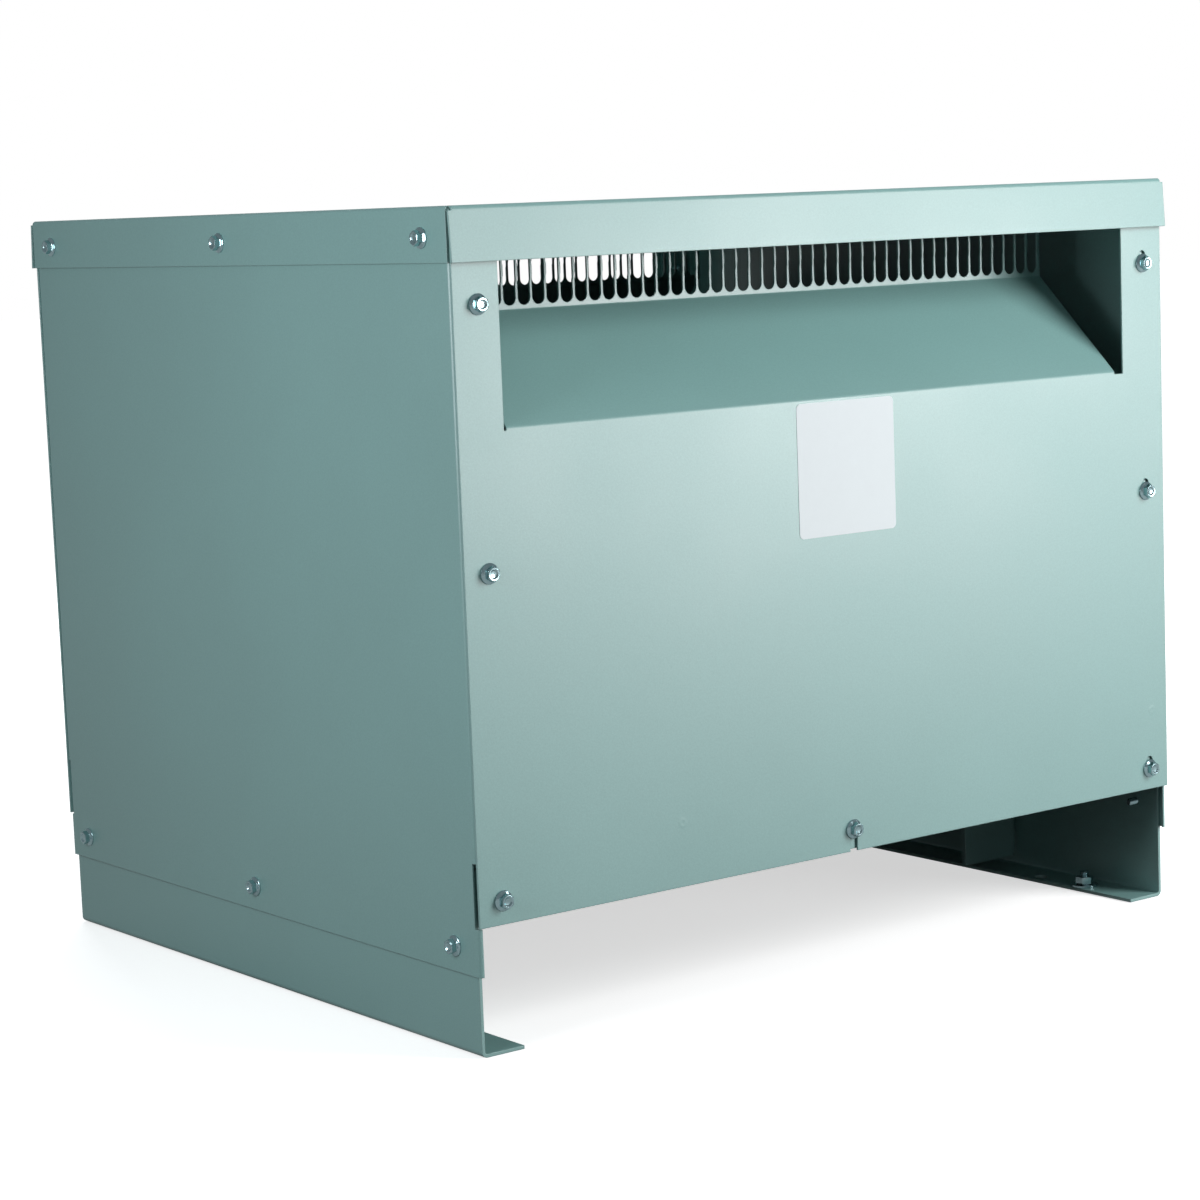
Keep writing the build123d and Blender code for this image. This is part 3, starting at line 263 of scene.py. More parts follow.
# %% Set up the lights
AIM = Vector((0.0, 0.0, 0.35))
NO_TINT = (1.0, 1.0, 1.0)


def softbox(name, azimuth, elevation, distance, width, height, power, tint=NO_TINT, mirrored=True):
    """A lamp on a sphere round the cabinet, turned towards it: away from the aim by
    (sin a cos e, -cos a cos e, sin e). One that isn't mirrored leaves no highlight."""
    a, e = math.radians(azimuth), math.radians(elevation)
    away = Vector((math.sin(a) * math.cos(e), -math.cos(a) * math.cos(e), math.sin(e)))
    lamp = bpy.data.lights.new(name, "AREA")
    lamp.shape = "RECTANGLE"
    lamp.size = width
    lamp.size_y = height
    lamp.energy = power
    lamp.color = tint
    holder = bpy.data.objects.new(name, lamp)
    holder.location = AIM + away * distance
    holder.rotation_euler = away.to_track_quat("Z", "Y").to_euler()
    holder.visible_glossy = mirrored
    bpy.context.collection.objects.link(holder)


# azimuth and elevation in degrees, distance, width and height in metres, power in watts
softbox("key", 35.5, 3, 3.2, 1.3, 0.95, 38)
softbox("front_fill", 34, 24, 2.3, 0.9, 0.9, 33, mirrored=False)
softbox("left_fill", -75, 12, 1.31, 0.5, 0.5, 6, tint=(0.95, 1.0, 1.03))
softbox("back_fill", 160, 24, 2.6, 1.2, 1.2, 30, mirrored=False)
softbox("overhead", 100, 60, 2.8, 1.2, 1.2, 12, mirrored=False)

# %% [markdown]
# Three effects come back in many of the finishes. They could be copied into each graph, but
# as node groups they are made once. Mottle varies a colour slowly over the surface. Grain is
# a fine bumpiness that can be stretched along an axis, such as drawn lines in metal. Soft
# edge rounds the sharp edge of a solid in its normals, so that it catches the light, and marks
# where the edge is, so that paint can be lighter there: partly wear, partly painted highlight.

# %% Build the shared effects
COLOUR, VALUE, VECTOR = "NodeSocketColor", "NodeSocketFloat", "NodeSocketVector"
EVEN = (1, 1, 1)  # a grain that isn't stretched


def new_group(name, inputs, outputs):
    """An empty node group with its sockets, and its two ends."""
    group = bpy.data.node_groups.new(name, "ShaderNodeTree")
    for socket, (kind, value) in inputs.items():
        made = group.interface.new_socket(socket, in_out="INPUT", socket_type=kind)
        made.default_value = value
    for socket, kind in outputs.items():
        group.interface.new_socket(socket, in_out="OUTPUT", socket_type=kind)
    return group, add(group, "NodeGroupInput"), add(group, "NodeGroupOutput")


def finish_group(group, end, results):
    """Links the results to the group's outputs."""
    for socket, value in results.items():
        group.links.new(value, end.inputs[socket])
    return group


def mottle_group():
    """Colour times 1 + amount * (mask - 1/2), where the mask is layered noise, 0 to 1."""
    wanted = {"Colour": (COLOUR, PURE_WHITE), "Size": (VALUE, 0.1), "Amount": (VALUE, 0.1)}
    group, start, end = new_group("mottle", wanted, {"Colour": COLOUR, "Mask": VALUE})
    scale = sums(group, "DIVIDE", 1.0, start.outputs["Size"])
    inputs = {"Vector": object_place(group), "Scale": scale, "Detail": 4.0, "Roughness": 0.6}
    noise = add(group, "ShaderNodeTexNoise", inputs)
    mask = spread(group, noise.outputs[0], 0.3, 0.7, 0.0, 1.0)
    level = sums(group, "MULTIPLY", sums(group, "SUBTRACT", mask, 0.5), start.outputs["Amount"])
    inputs = {"Value": sums(group, "ADD", level, 1.0), "Color": start.outputs["Colour"]}
    hue = add(group, "ShaderNodeHueSaturation", inputs)
    return finish_group(group, end, {"Colour": hue.outputs[0], "Mask": mask})


def grain_group():
    """Noise of a given size, on coordinates multiplied by the stretch."""
    wanted = {"Size": (VALUE, 1 * MM), "Stretch": (VECTOR, EVEN)}
    group, start, end = new_group("grain", wanted, {"Height": VALUE})
    scaled = vectors(group, "MULTIPLY", object_place(group), start.outputs["Stretch"])
    scale = sums(group, "DIVIDE", 1.0, start.outputs["Size"])
    noise = add(group, "ShaderNodeTexNoise", {"Vector": scaled, "Scale": scale, "Detail": 2.0})
    return finish_group(group, end, {"Height": noise.outputs[0]})


def soft_edge_group():
    """Normal averaged over the radius, and a mask that grows from 0 to 1 as the cosine
    between it and the flat normal falls."""
    results = {"Normal": VECTOR, "Mask": VALUE}
    group, start, end = new_group("soft_edge", {"Radius": (VALUE, 1 * MM)}, results)
    bevel = add(group, "ShaderNodeBevel", {"Radius": start.outputs["Radius"]}, samples=4)
    flat = add(group, "ShaderNodeNewGeometry").outputs["Normal"]
    lean = vectors(group, "DOT_PRODUCT", bevel.outputs[0], flat)
    mask = spread(group, lean, 0.98, 0.80, 0.0, 1.0)
    return finish_group(group, end, {"Normal": bevel.outputs[0], "Mask": mask})


GROUPS = {"mottle": mottle_group(), "grain": grain_group(), "soft_edge": soft_edge_group()}
print("groups:", sorted(GROUPS))


def use(tree, group, **inputs):
    """Places one of the shared groups with its own values."""
    return add(tree, "ShaderNodeGroup", inputs, node_tree=GROUPS[group]).outputs


# %% [markdown]
# A material starts as a plain Principled shader, which gives sound gloss and colour in any
# light. What is the same all over a surface, such as metallic or coat, is set on the
# shader's own sockets. What varies is linked in afterwards.

# %% Start a material


def new_material(name, **settings):
    """A material with its tree and shader, with the shader's plain values set."""
    material = bpy.data.materials.new(name)
    material.use_nodes = True
    tree = material.node_tree
    shader = tree.nodes["Principled BSDF"]
    for socket, value in settings.items():
        shader.inputs[socket.replace("_", " ")].default_value = value
    return material, tree, shader


def connect(tree, shader, colour, roughness, normal=None):
    """Links what varies over the surface to the shader."""
    for socket, value in {"Base Color": colour, "Roughness": roughness, "Normal": normal}.items():
        if value is not None:
            tree.links.new(value, shader.inputs[socket])


def bump(tree, height, distance, normal=None):
    """Normal of a surface raised by height times distance, over a given normal."""
    inputs = {"Height": height, "Distance": distance, "Strength": 1.0}
    if normal is not None:
        inputs["Normal"] = normal
    return add(tree, "ShaderNodeBump", inputs).outputs[0]


print("helpers: new_material, connect, bump")

# %% [markdown]
# The cabinet's enamel is a satin grey-green. Sprayed enamel dries with a faint orange
# peel, and the sheet shows a few round marks where brackets are spot-welded behind it.
# A picture of peel could be laid on, but it would repeat. So the peel is fine noise in the
# bump, and each weld is a ring round its own point.

# %% Mix the cabinet enamel
ENAMEL = srgb(128, 168, 165)
WORN_AND_HIGHLIT_ENAMEL = srgb(190, 206, 203)
WORN_AND_HIGHLIT_SHARE = 0.25
SPECKLE_SIZE = 1.1 * MM
PEEL_SIZE = 1.6 * MM
PEEL_DEPTH = 0.04 * MM
WELD_RADIUS = 4.5 * MM
WELD_HEIGHT = 2.0  # counted in depths of the peel
WELDS = ((-0.3440, -0.1719, 0.1058), (-0.1634, -0.3000, 0.1397), (0.3271, -0.3000, 0.1575))


def weld_marks(tree):
    """The largest, over the welds, of a ring that rises and falls within the radius."""
    place = object_place(tree)
    found = None
    for weld in WELDS:
        gap = sums(tree, "MINIMUM", vectors(tree, "DISTANCE", place, weld), WELD_RADIUS)
        mark = sums(tree, "PINGPONG", gap, WELD_RADIUS / 2)
        found = mark if found is None else sums(tree, "MAXIMUM", found, mark)
    return sums(tree, "DIVIDE", found, WELD_RADIUS / 2)


def cabinet_enamel():
    """Satin enamel with orange peel, weld marks, and edges painted lighter: partly thin paint,
    partly painted highlight.
    """
    material, tree, shader = new_material("cabinet_enamel", IOR=1.9)
    base = use(tree, "mottle", Colour=ENAMEL, Size=0.16, Amount=0.05)
    speckle = use(tree, "mottle", Colour=base["Colour"], Size=SPECKLE_SIZE, Amount=0.13)
    edge = use(tree, "soft_edge", Radius=0.9 * MM)
    # painted highlight and wear: the enamel is lighter along sharp edges, partly thin paint, partly
    # painted highlight
    worn_and_highlit = sums(tree, "MULTIPLY", edge["Mask"], WORN_AND_HIGHLIT_SHARE)
    colour = mix(tree, worn_and_highlit, speckle["Colour"], WORN_AND_HIGHLIT_ENAMEL)
    peel = use(tree, "grain", Size=PEEL_SIZE)["Height"]
    height = sums(tree, "ADD", peel, sums(tree, "MULTIPLY", weld_marks(tree), WELD_HEIGHT))
    roughness = between(tree, base["Mask"], (0.35, 0.40))
    connect(tree, shader, colour, roughness, bump(tree, height, PEEL_DEPTH, edge["Normal"]))
    return material


print("enamel:", [round(v, 3) for v in ENAMEL[:3]])

# %% [markdown]
# Metals are told apart by colour and by what their making left on them. Zinc plate is
# bright with a faint blue, and its blue-green tint is partly that plating and partly a painted
# reflection of the teal surroundings. Galvanised sheet has large dull crystals, drawn cans have
# fine upright lines, and copper and brass darken in patches. Plain metals differ only in their
# numbers, so a table holds them, and the two with a pattern have functions of their own.

# %% Mix the metals
# colour, roughness from and to, size and amount of the mottle, size, stretch and depth of
# the grain, and radius of the soft edges, with sizes in mm
PLAIN_METALS = {
    # bright_zinc: blue-green colour, partly the plating's own blue, partly a painted reflection of
    # teal surroundings
    "bright_zinc": ((172, 200, 205), (0.12, 0.22), 4.0, 0.15, 0.5, EVEN, 0.006, 0.25),
    "can_aluminium": ((214, 217, 219), (0.25, 0.38), 20.0, 0.08, 8.0, (20, 20, 1), 0.05, 0.4),
    "bus_copper": ((205, 132, 92), (0.28, 0.45), 15.0, 0.3, 1.0, EVEN, 0.02, 0.4),
    "terminal_brass": ((206, 176, 110), (0.22, 0.36), 10.0, 0.2, 1.0, EVEN, 0.02, 0.4),
}
CRYSTALS_PER_METRE = 110.0
DULL_CRYSTAL, BRIGHT_CRYSTAL = srgb(150, 155, 157), srgb(186, 190, 191)
SHEET_EDGE, SHEET_GAP = srgb(84, 76, 68), srgb(52, 47, 44)


def plain_metal(name, tint, rough, mottle_size, amount, grain_size, stretch, depth, edge):
    """A bare metal: mottled colour, roughness that follows it, and a directional grain."""
    material, tree, shader = new_material(name, Metallic=1.0)
    tone = use(tree, "mottle", Colour=srgb(*tint), Size=mottle_size * MM, Amount=amount)
    grain = use(tree, "grain", Size=grain_size * MM, Stretch=stretch)["Height"]
    normal = bump(tree, grain, depth * MM, use(tree, "soft_edge", Radius=edge * MM)["Normal"])
    connect(tree, shader, tone["Colour"], between(tree, tone["Mask"], rough), normal)
    return material


def plated_sheet():
    """Galvanised sheet: cells of a Voronoi pattern, each with its own grey."""
    material, tree, shader = new_material("plated_sheet", Metallic=1.0)
    inputs = {"Vector": object_place(tree), "Scale": CRYSTALS_PER_METRE}
    crystals = add(tree, "ShaderNodeTexVoronoi", inputs)
    tone = sums(tree, "FRACT", crystals.outputs["Color"])
    colour = mix(tree, tone, DULL_CRYSTAL, BRIGHT_CRYSTAL)
    connect(tree, shader, colour, between(tree, tone, (0.38, 0.55)))
    return material


def lamination_steel():
    """Edges of thin stacked sheets: noise squeezed to half a millimetre along the stack."""
    material, tree, shader = new_material("lamination_steel", Metallic=0.6)
    lines = use(tree, "grain", Size=12 * MM, Stretch=(1, 24, 1))["Height"]
    tone = use(tree, "mottle", Colour=SHEET_EDGE, Size=0.03, Amount=0.35)
    colour = mix(tree, spread(tree, lines, 0.35, 0.65, 0.0, 1.0), tone["Colour"], SHEET_GAP)
    roughness = spread(tree, lines, 0.3, 0.7, 0.35, 0.6)
    connect(tree, shader, colour, roughness, bump(tree, lines, 0.3 * MM))
    return material


print("plain metals:", sorted(PLAIN_METALS))

# %% [markdown]
# Paint, board, rubber, plastic and sleeving differ only in colour, gloss and grain. Each
# could have a function, but a table shows at a glance how they differ.

# %% Mix the finishes that aren't metal
# colour, roughness from and to, amount of the mottle, size and depth of the grain in mm
DULL_FINISHES = {
    "black_steel": ((34, 35, 36), (0.35, 0.5), 0.3, 1.5, 0.05),
    "insulating_board": ((190, 164, 120), (0.7, 0.85), 0.2, 1.0, 0.08),
    "pad_rubber": ((28, 28, 29), (0.75, 0.9), 0.25, 0.8, 0.08),
    "block_plastic": ((30, 30, 31), (0.3, 0.45), 0.2, 0.8, 0.03),
    "lead_sleeve": ((36, 35, 34), (0.5, 0.65), 0.25, 0.7, 0.12),
}


def dull_finish(name, tint, rough, amount, grain_size, depth):
    """A finish that isn't metal: mottled colour and roughness over a fine grain."""
    material, tree, shader = new_material(name)
    tone = use(tree, "mottle", Colour=srgb(*tint), Size=0.02, Amount=amount)
    grain = use(tree, "grain", Size=grain_size * MM)["Height"]
    normal = bump(tree, grain, depth * MM, use(tree, "soft_edge", Radius=0.5 * MM)["Normal"])
    connect(tree, shader, tone["Colour"], between(tree, tone["Mask"], rough), normal)
    return material


print("finishes that aren't metal:", sorted(DULL_FINISHES))

# %% [markdown]
# The coils are wrapped in tape and dipped in varnish. The turns of tape could be modelled,
# but they are thinner than the varnish, so a wave that follows a tilted direction draws
# them. The label is a bare film, which only the glue behind it makes uneven.

# %% Mix the coils' varnish and the label's film
VARNISH, TAPE_SHADE = srgb(158, 100, 48), srgb(92, 52, 24)
TAPE_TILT = (0.12, 0.16, 0.0)
TAPE_BANDS = 16.0
LABEL_WHITE = srgb(226, 233, 236)


def coil_varnish():
    """Amber varnish over slanting bands of tape: a wave along a tilted direction."""
    material, tree, shader = new_material("coil_varnish", Coat_Weight=0.5, Coat_Roughness=0.15)
    inputs = {"Vector": object_place(tree), "Rotation": TAPE_TILT}
    slanted = add(tree, "ShaderNodeMapping", inputs).outputs[0]
    inputs = {"Vector": slanted, "Scale": TAPE_BANDS, "Distortion": 0.6}
    wave = add(tree, "ShaderNodeTexWave", inputs, bands_direction="Z", wave_profile="SAW")
    bands = wave.outputs["Fac"]
    tone = use(tree, "mottle", Colour=VARNISH, Size=0.025, Amount=0.4)
    colour = mix(tree, between(tree, bands, (0.0, 0.5)), tone["Colour"], TAPE_SHADE)
    roughness = between(tree, tone["Mask"], (0.3, 0.5))
    connect(tree, shader, colour, roughness, bump(tree, bands, 0.4 * MM))
    return material


def label_film():
    """Bare white label film with a soft gloss and a slight unevenness from the glue."""
    material, tree, shader = new_material("label_film", Specular_IOR_Level=0.35)
    tone = use(tree, "mottle", Colour=LABEL_WHITE, Size=0.03, Amount=0.03)
    waves = use(tree, "grain", Size=9 * MM)["Height"]
    roughness = between(tree, tone["Mask"], (0.5, 0.6))
    connect(tree, shader, tone["Colour"], roughness, bump(tree, waves, 0.12 * MM))
    return material


print("label:", [round(v, 3) for v in LABEL_WHITE[:3]])

# %% [markdown]
# The record of the solids names a finish for each of them, so they could be dressed one by
# one, but a loop can't forget any. Their meshes stay as they are.

# %% Gather the finishes and dress the solids
FINISHES = {
    "cabinet_enamel": cabinet_enamel(),
    "plated_sheet": plated_sheet(),
    "lamination_steel": lamination_steel(),
    "coil_varnish": coil_varnish(),
    "label_film": label_film(),
}
FINISHES.update({name: plain_metal(name, *row) for name, row in PLAIN_METALS.items()})
FINISHES.update({name: dull_finish(name, *row) for name, row in DULL_FINISHES.items()})
print("finishes:", sorted(FINISHES))

for part in frame["record"]["subparts"]:
    mesh = frame["nodes"][part["node"]].data
    mesh.materials.clear()
    mesh.materials.append(FINISHES[part["material_slot"]])

# %% [markdown]
# Fasteners are turned shapes with a hexagon cut on them. Prisms and cylinders could be cut
# and joined, but a stack of rings gives chamfers, washers and threads in one closed mesh. A
# ring's radius may vary round it: a hexagon's radius is its half width over the cosine of
# the angle from the nearest flat, and a thread's radius rises and falls once a turn, with
# its phase moving down the shank. The rings are whole arrays, joined by quads.

# %% Helpers for turned pieces
COLUMNS = 36
TURN = np.linspace(0.0, 2.0 * np.pi, COLUMNS, endpoint=False)
THREAD_DEPTH = 0.55  # a share of the pitch
TIP_TAPER = 0.6  # a share of the thread's depth
CHAMFER_SLOPE = 0.58


def hexagon_radius(across):
    """Half the width over the cosine of the angle from the nearest flat."""
    step = np.pi / 3.0
    return across / 2.0 / np.cos((TURN + step / 2.0) % step - step / 2.0)


def ring(radius, height):
    """Points round the Z axis. The radius and the height may vary round the ring."""
    r, z = np.broadcast_arrays(np.asarray(radius, float), np.asarray(height, float), TURN)[:2]
    return np.stack([r * np.cos(TURN), r * np.sin(TURN), z], axis=-1)


def thread_rings(major, pitch, top, bottom, rows_per_turn=8):
    """Rings down a threaded shank: radius = major - depth * |2 * phase - 1|, where the
    phase is the fraction of a turn left by (height + pitch * angle / 2 pi) / pitch. Over
    the last turn the radius also shrinks by a growing share of the depth."""
    count = max(2, int(round((top - bottom) / pitch * rows_per_turn)))
    depth = THREAD_DEPTH * pitch
    rings = []
    for z in np.linspace(top, bottom, count):
        phase = (z / pitch + TURN / (2.0 * np.pi)) % 1.0
        groove = depth * np.abs(2.0 * phase - 1.0)
        taper = depth * (1.0 - min(1.0, (z - bottom) / pitch)) * TIP_TAPER
        rings.append(ring(major - groove - taper, z))
    return rings


def stacked(rings, closed=True):
    """Vertices, quads and triangles of a stack of rings. A closed stack ends in a pole at
    each end, and an open one, such as a nut, joins its last ring to its first."""
    rows, columns = len(rings), len(rings[0])
    verts = np.concatenate(rings)
    last_row = rows - 1 if closed else rows
    row, column = np.meshgrid(np.arange(last_row), np.arange(columns), indexing="ij")
    beside = (column + 1) % columns
    here, below = row * columns, (row + 1) % rows * columns
    quads = np.stack([here + column, below + column, below + beside, here + beside], axis=-1)
    if not closed:
        return verts, quads.reshape(-1, 4), np.empty((0, 3), dtype=int)
    first, final, foot = len(verts), len(verts) + 1, (rows - 1) * columns
    verts = np.concatenate([verts, [rings[0].mean(axis=0), rings[-1].mean(axis=0)]])
    around = np.arange(columns)
    after = (around + 1) % columns
    top = np.stack([np.full_like(around, first), around, after], axis=-1)
    bottom = np.stack([np.full_like(around, final), foot + after, foot + around], axis=-1)
    return verts, quads.reshape(-1, 4), np.concatenate([top, bottom])


print("a ring has", COLUMNS, "points")

# %% [markdown]
# A row of screws is one piece, because it stands for one CAD node. Linked copies could
# share one screw's mesh, but each would then be a piece of its own. So copies of a shape
# are turned and moved as arrays and joined, and the mesh that comes of it hangs on its body,
# hides the solids that it replaces and wears its finish. Where the copies go is read from the
# solids.

# %% Helpers that place the pieces
UP, FRONT, REAR, LEFT, RIGHT = (0, 0, 1), (0, -1, 0), (0, 1, 0), (-1, 0, 0), (1, 0, 0)


def joined(*shapes):
    """Several shapes as one: their corner numbers go up by the vertices before them."""
    verts, quads, triangles = zip(*shapes)
    starts = np.cumsum([0] + [len(group) for group in verts[:-1]])
    quads = np.concatenate([group + start for group, start in zip(quads, starts)])
    triangles = np.concatenate([group + start for group, start in zip(triangles, starts)])
    return np.concatenate(verts), quads, triangles


def turned_to(direction):
    """Rotation that carries +Z to a direction."""
    return np.array(Vector(direction).to_track_quat("Z", "Y").to_matrix())


def copies(shape, places):
    """One shape set at (point, direction) places: turned from +Z, then moved."""
    verts, quads, triangles = shape
    moved = [verts @ turned_to(direction).T + np.array(point) for point, direction in places]
    return joined(*[(group, quads, triangles) for group in moved])


def add_piece(name, shape, slot, replaced, sharp=32.0):
    """A mesh that rides on the cabinet, wears a finish and stands for CAD nodes."""
    verts, quads, triangles = shape
    mesh = bpy.data.meshes.new(name)
    mesh.from_pydata(verts.tolist(), [], quads.tolist() + triangles.tolist())
    mesh.shade_smooth()
    mesh.set_sharp_from_angle(angle=math.radians(sharp))
    mesh.materials.append(FINISHES[slot])
    piece = bpy.data.objects.new(name, mesh)
    bpy.context.collection.objects.link(piece)
    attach(piece, "root")
    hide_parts(*replaced)


def loose_parts(node):
    """Boxes of the separate solids in a CAD node: vertices at the same place get one
    label, and each triangle passes on its lowest label until nothing changes."""
    mesh = frame["nodes"][node].data
    points = np.empty(len(mesh.vertices) * 3)
    mesh.vertices.foreach_get("co", points)
    points = points.reshape(-1, 3)
    mesh.calc_loop_triangles()
    triangles = np.empty(len(mesh.loop_triangles) * 3, dtype=int)
    mesh.loop_triangles.foreach_get("vertices", triangles)
    _, welded = np.unique(np.round(points, 6), axis=0, return_inverse=True)
    welded = welded.ravel()
    triangles = welded[triangles].reshape(-1, 3)
    labels = np.arange(welded.max() + 1)
    while True:
        lowest = labels[triangles].min(axis=1)
        before = labels.copy()
        for corner in range(3):
            np.minimum.at(labels, triangles[:, corner], lowest)
        if (labels == before).all():
            break
    labels = labels[welded]
    solids = [points[labels == label] for label in np.unique(labels)]
    return [(solid.min(axis=0), solid.max(axis=0)) for solid in solids]


print("solids of the front panel's screws:", len(loose_parts("front_panel_screws")))

# %% [markdown]
# The cabinet's screws have a hexagon head with a shallow round hollow, on a washer that
# is thicker in the middle. Their places could be typed in, but then they would be known
# twice. So they come from the CAD solids: each solid's box gives its axis and its outer
# end, and the head's height leads back to the face it sits on.

# %% Make the washer-head screws
SCREW_HEX = 9.5 * MM
SCREW_TOP = 6.2 * MM
SCREW_WASHER = 14.8 * MM
SCREW_SHANK = 6.3 * MM
SCREW_LENGTH = 13.0 * MM
SCREW_PITCH = 1.8 * MM
SCREW_NECK = 0.3 * MM
SCREW_CROWN_STEP = 0.35 * MM
# radius, and height from the top of the head, in mm
SCREW_HOLLOW = ((1.2, -1.1), (2.3, -1.0), (3.0, -0.35), (3.4, -0.05))
# growth from the hexagon, and height from the seat, in mm
SCREW_COLLAR = ((0.0, 2.1), (0.25, 1.75))
# growth from the washer's radius, and height from the seat, in mm
WASHER_FACE = ((-0.7, 1.15), (-0.2, 0.95), (0.0, 0.70), (0.0, 0.25), (-0.2, 0.0))


def washer_screw():
    """Rings from the hollow in the head, down the hexagon and the washer, to the tip."""
    corner = hexagon_radius(SCREW_HEX)
    crown = SCREW_HEX / 2 - SCREW_CROWN_STEP
    washer, shank = SCREW_WASHER / 2, SCREW_SHANK / 2
    rings = [ring(radius * MM, SCREW_TOP + height * MM) for radius, height in SCREW_HOLLOW]
    rings += [ring(crown, SCREW_TOP), ring(corner, SCREW_TOP - (corner - crown) * CHAMFER_SLOPE)]
    rings += [ring(corner + growth * MM, height * MM) for growth, height in SCREW_COLLAR]
    rings += [ring(washer + growth * MM, height * MM) for growth, height in WASHER_FACE]
    rings += [ring(shank, 0.0)]
    return stacked(rings + thread_rings(shank, SCREW_PITCH, -SCREW_NECK, -SCREW_LENGTH))


def outer_ends(node, direction_of, head):
    """Where each fastener of a node sits: its centre, moved along its direction by half
    its length less the head. Also the direction in which its head points."""
    places = []
    for low, high in loose_parts(node):
        centre = (low + high) / 2
        direction = np.array(direction_of(centre), dtype=float)
        reach = np.abs(direction) @ (high - low) / 2
        places.append((centre + direction * (reach - head), direction))
    return places


def always(direction):
    """The same direction for every fastener of a node."""
    return lambda centre: direction


def away_in_x(centre):
    """Outwards to the left or to the right."""
    return (np.sign(centre[0]), 0, 0)


def away_in_y(centre):
    """Outwards to the front or to the rear."""
    return (0, np.sign(centre[1]), 0)


SCREW_NODES = {
    "front_panel_screws": always(FRONT),
    "rear_panel_screws": always(REAR),
    "left_side_screws": always(LEFT),
    "right_side_screws": always(RIGHT),
    "cover_screws": away_in_x,
    "capacitor_screws": always(UP),
}
for node, direction_of in SCREW_NODES.items():
    places = outer_ends(node, direction_of, SCREW_TOP)
    add_piece(node + "_turned", copies(washer_screw(), places), "bright_zinc", [node])
    print(node, len(places))

# %% [markdown]
# The bolts and nuts of the base and the core are plain hexagons with a chamfer, so they
# share the same rings. A bolt is threaded near its end only, and a nut is an open stack
# whose rings come back up through its bore. A plain cylinder would do where nobody looks,
# but with the same rings the finer one costs nothing more.

# %% Make the bolts and nuts
# widths over the flats and of the thread, heights of head and nut, and pitch
BOLT = {"hex": 13.0 * MM, "head": 5.5 * MM, "d": 8.0 * MM, "nut": 6.5 * MM, "pitch": 1.25 * MM}
CORE_BOLT = {
    "hex": 19.0 * MM, "head": 5.5 * MM, "d": 12.0 * MM, "nut": 12.0 * MM, "pitch": 1.75 * MM,
}
CROWN_STEP = 0.3 * MM  # from the flats of a hexagon in to the edge of its chamfer
HEAD_SEAT = (0.5 * MM, 0.4 * MM)  # between these heights the head narrows to a round seat
BORE_GAP = 0.2 * MM
BORE_BEVEL = 0.5 * MM
THREAD_START = 0.1 * MM  # from the plain shank to the first ring of the thread
PLAIN_SHANK = 1.0 * MM  # the least that a bolt keeps without thread
BOLT_ROWS = 6  # rings per turn of a bolt's thread


def hexagon(size):
    """Radius round a hexagon, radius of its round top, and height of the chamfer between."""
    corner = hexagon_radius(size["hex"])
    crown = size["hex"] / 2 - CROWN_STEP
    return corner, crown, (corner - crown) * CHAMFER_SLOPE


def hexagon_bolt(size, length, threaded):
    """Chamfered head, plain shank and thread, from the top down."""
    corner, crown, drop = hexagon(size)
    radius, shank_end = size["d"] / 2, threaded - length
    rings = [
        ring(crown * 0.5, size["head"]),
        ring(crown, size["head"]),
        ring(corner, size["head"] - drop),
        ring(corner, HEAD_SEAT[0]),
        ring(crown, HEAD_SEAT[1]),
        ring(crown, 0.0),
        ring(radius, 0.0),
        ring(radius, shank_end),
    ]
    start = shank_end - THREAD_START
    return stacked(rings + thread_rings(radius, size["pitch"], start, -length, BOLT_ROWS))


def hexagon_nut(size):
    """Chamfered at both ends, hanging below Z = 0, with a plain bore."""
    corner, crown, drop = hexagon(size)
    bore, height = size["d"] / 2 + BORE_GAP, size["nut"]
    rings = [
        ring(bore + BORE_BEVEL, 0.0),
        ring(crown, 0.0),
        ring(corner, -drop),
        ring(corner, drop - height),
        ring(crown, -height),
        ring(bore + BORE_BEVEL, -height),
        ring(bore, BORE_BEVEL - height),
        ring(bore, -BORE_BEVEL),
    ]
    return stacked(rings, closed=False)


# size, direction of the head, and length of the thread
BOLT_NODES = {
    "cross_member_bolts": (BOLT, always(UP), 12.0 * MM),
    "beam_bolts": (BOLT, away_in_y, 14.0 * MM),
    "core_foot_bolts": (BOLT, always(UP), 20.0 * MM),
    "terminal_panel_bolts": (BOLT, always(UP), 14.0 * MM),
    "core_bolts": (CORE_BOLT, always(FRONT), 28.0 * MM),
}
for node, (size, direction_of, threaded) in BOLT_NODES.items():
    places = outer_ends(node, direction_of, size["head"])
    low, high = loose_parts(node)[0]
    length = float((high - low).max()) - size["head"]
    bolt = hexagon_bolt(size, length, min(threaded, length - PLAIN_SHANK))
    add_piece(node + "_turned", copies(bolt, places), "bright_zinc", [node])
    print(node, len(places), "length", round(length / MM, 1))

NUT_NODES = {
    "cross_member_nuts": (BOLT, always(UP)),
    "beam_nuts": (BOLT, away_in_y),
    "core_foot_nuts": (BOLT, always(UP)),
    "terminal_panel_nuts": (BOLT, always(UP)),
    "core_bolt_nuts": (CORE_BOLT, always(FRONT)),
    "ground_stud_nut": (BOLT, always(UP)),
}
for node, (size, direction_of) in NUT_NODES.items():
    places = outer_ends(node, direction_of, 0.0)
    add_piece(node + "_turned", copies(hexagon_nut(size), places), "bright_zinc", [node])
    print(node, len(places))

# %% [markdown]
# The ground stud is a length of thread through the right rail's flange, with a washer under
# its nut. Both could reuse the bolt, but they have no head. So the stud is the thread's
# rings alone, and the washer is an open stack with soft outer edges.

# %% Make the ground stud and its washer
WASHER_SOFT = 0.25 * MM


def standing(low, high):
    """The place of a shape that stands on the middle of a box's floor."""
    return ((low[0] + high[0]) / 2, (low[1] + high[1]) / 2, low[2]), UP


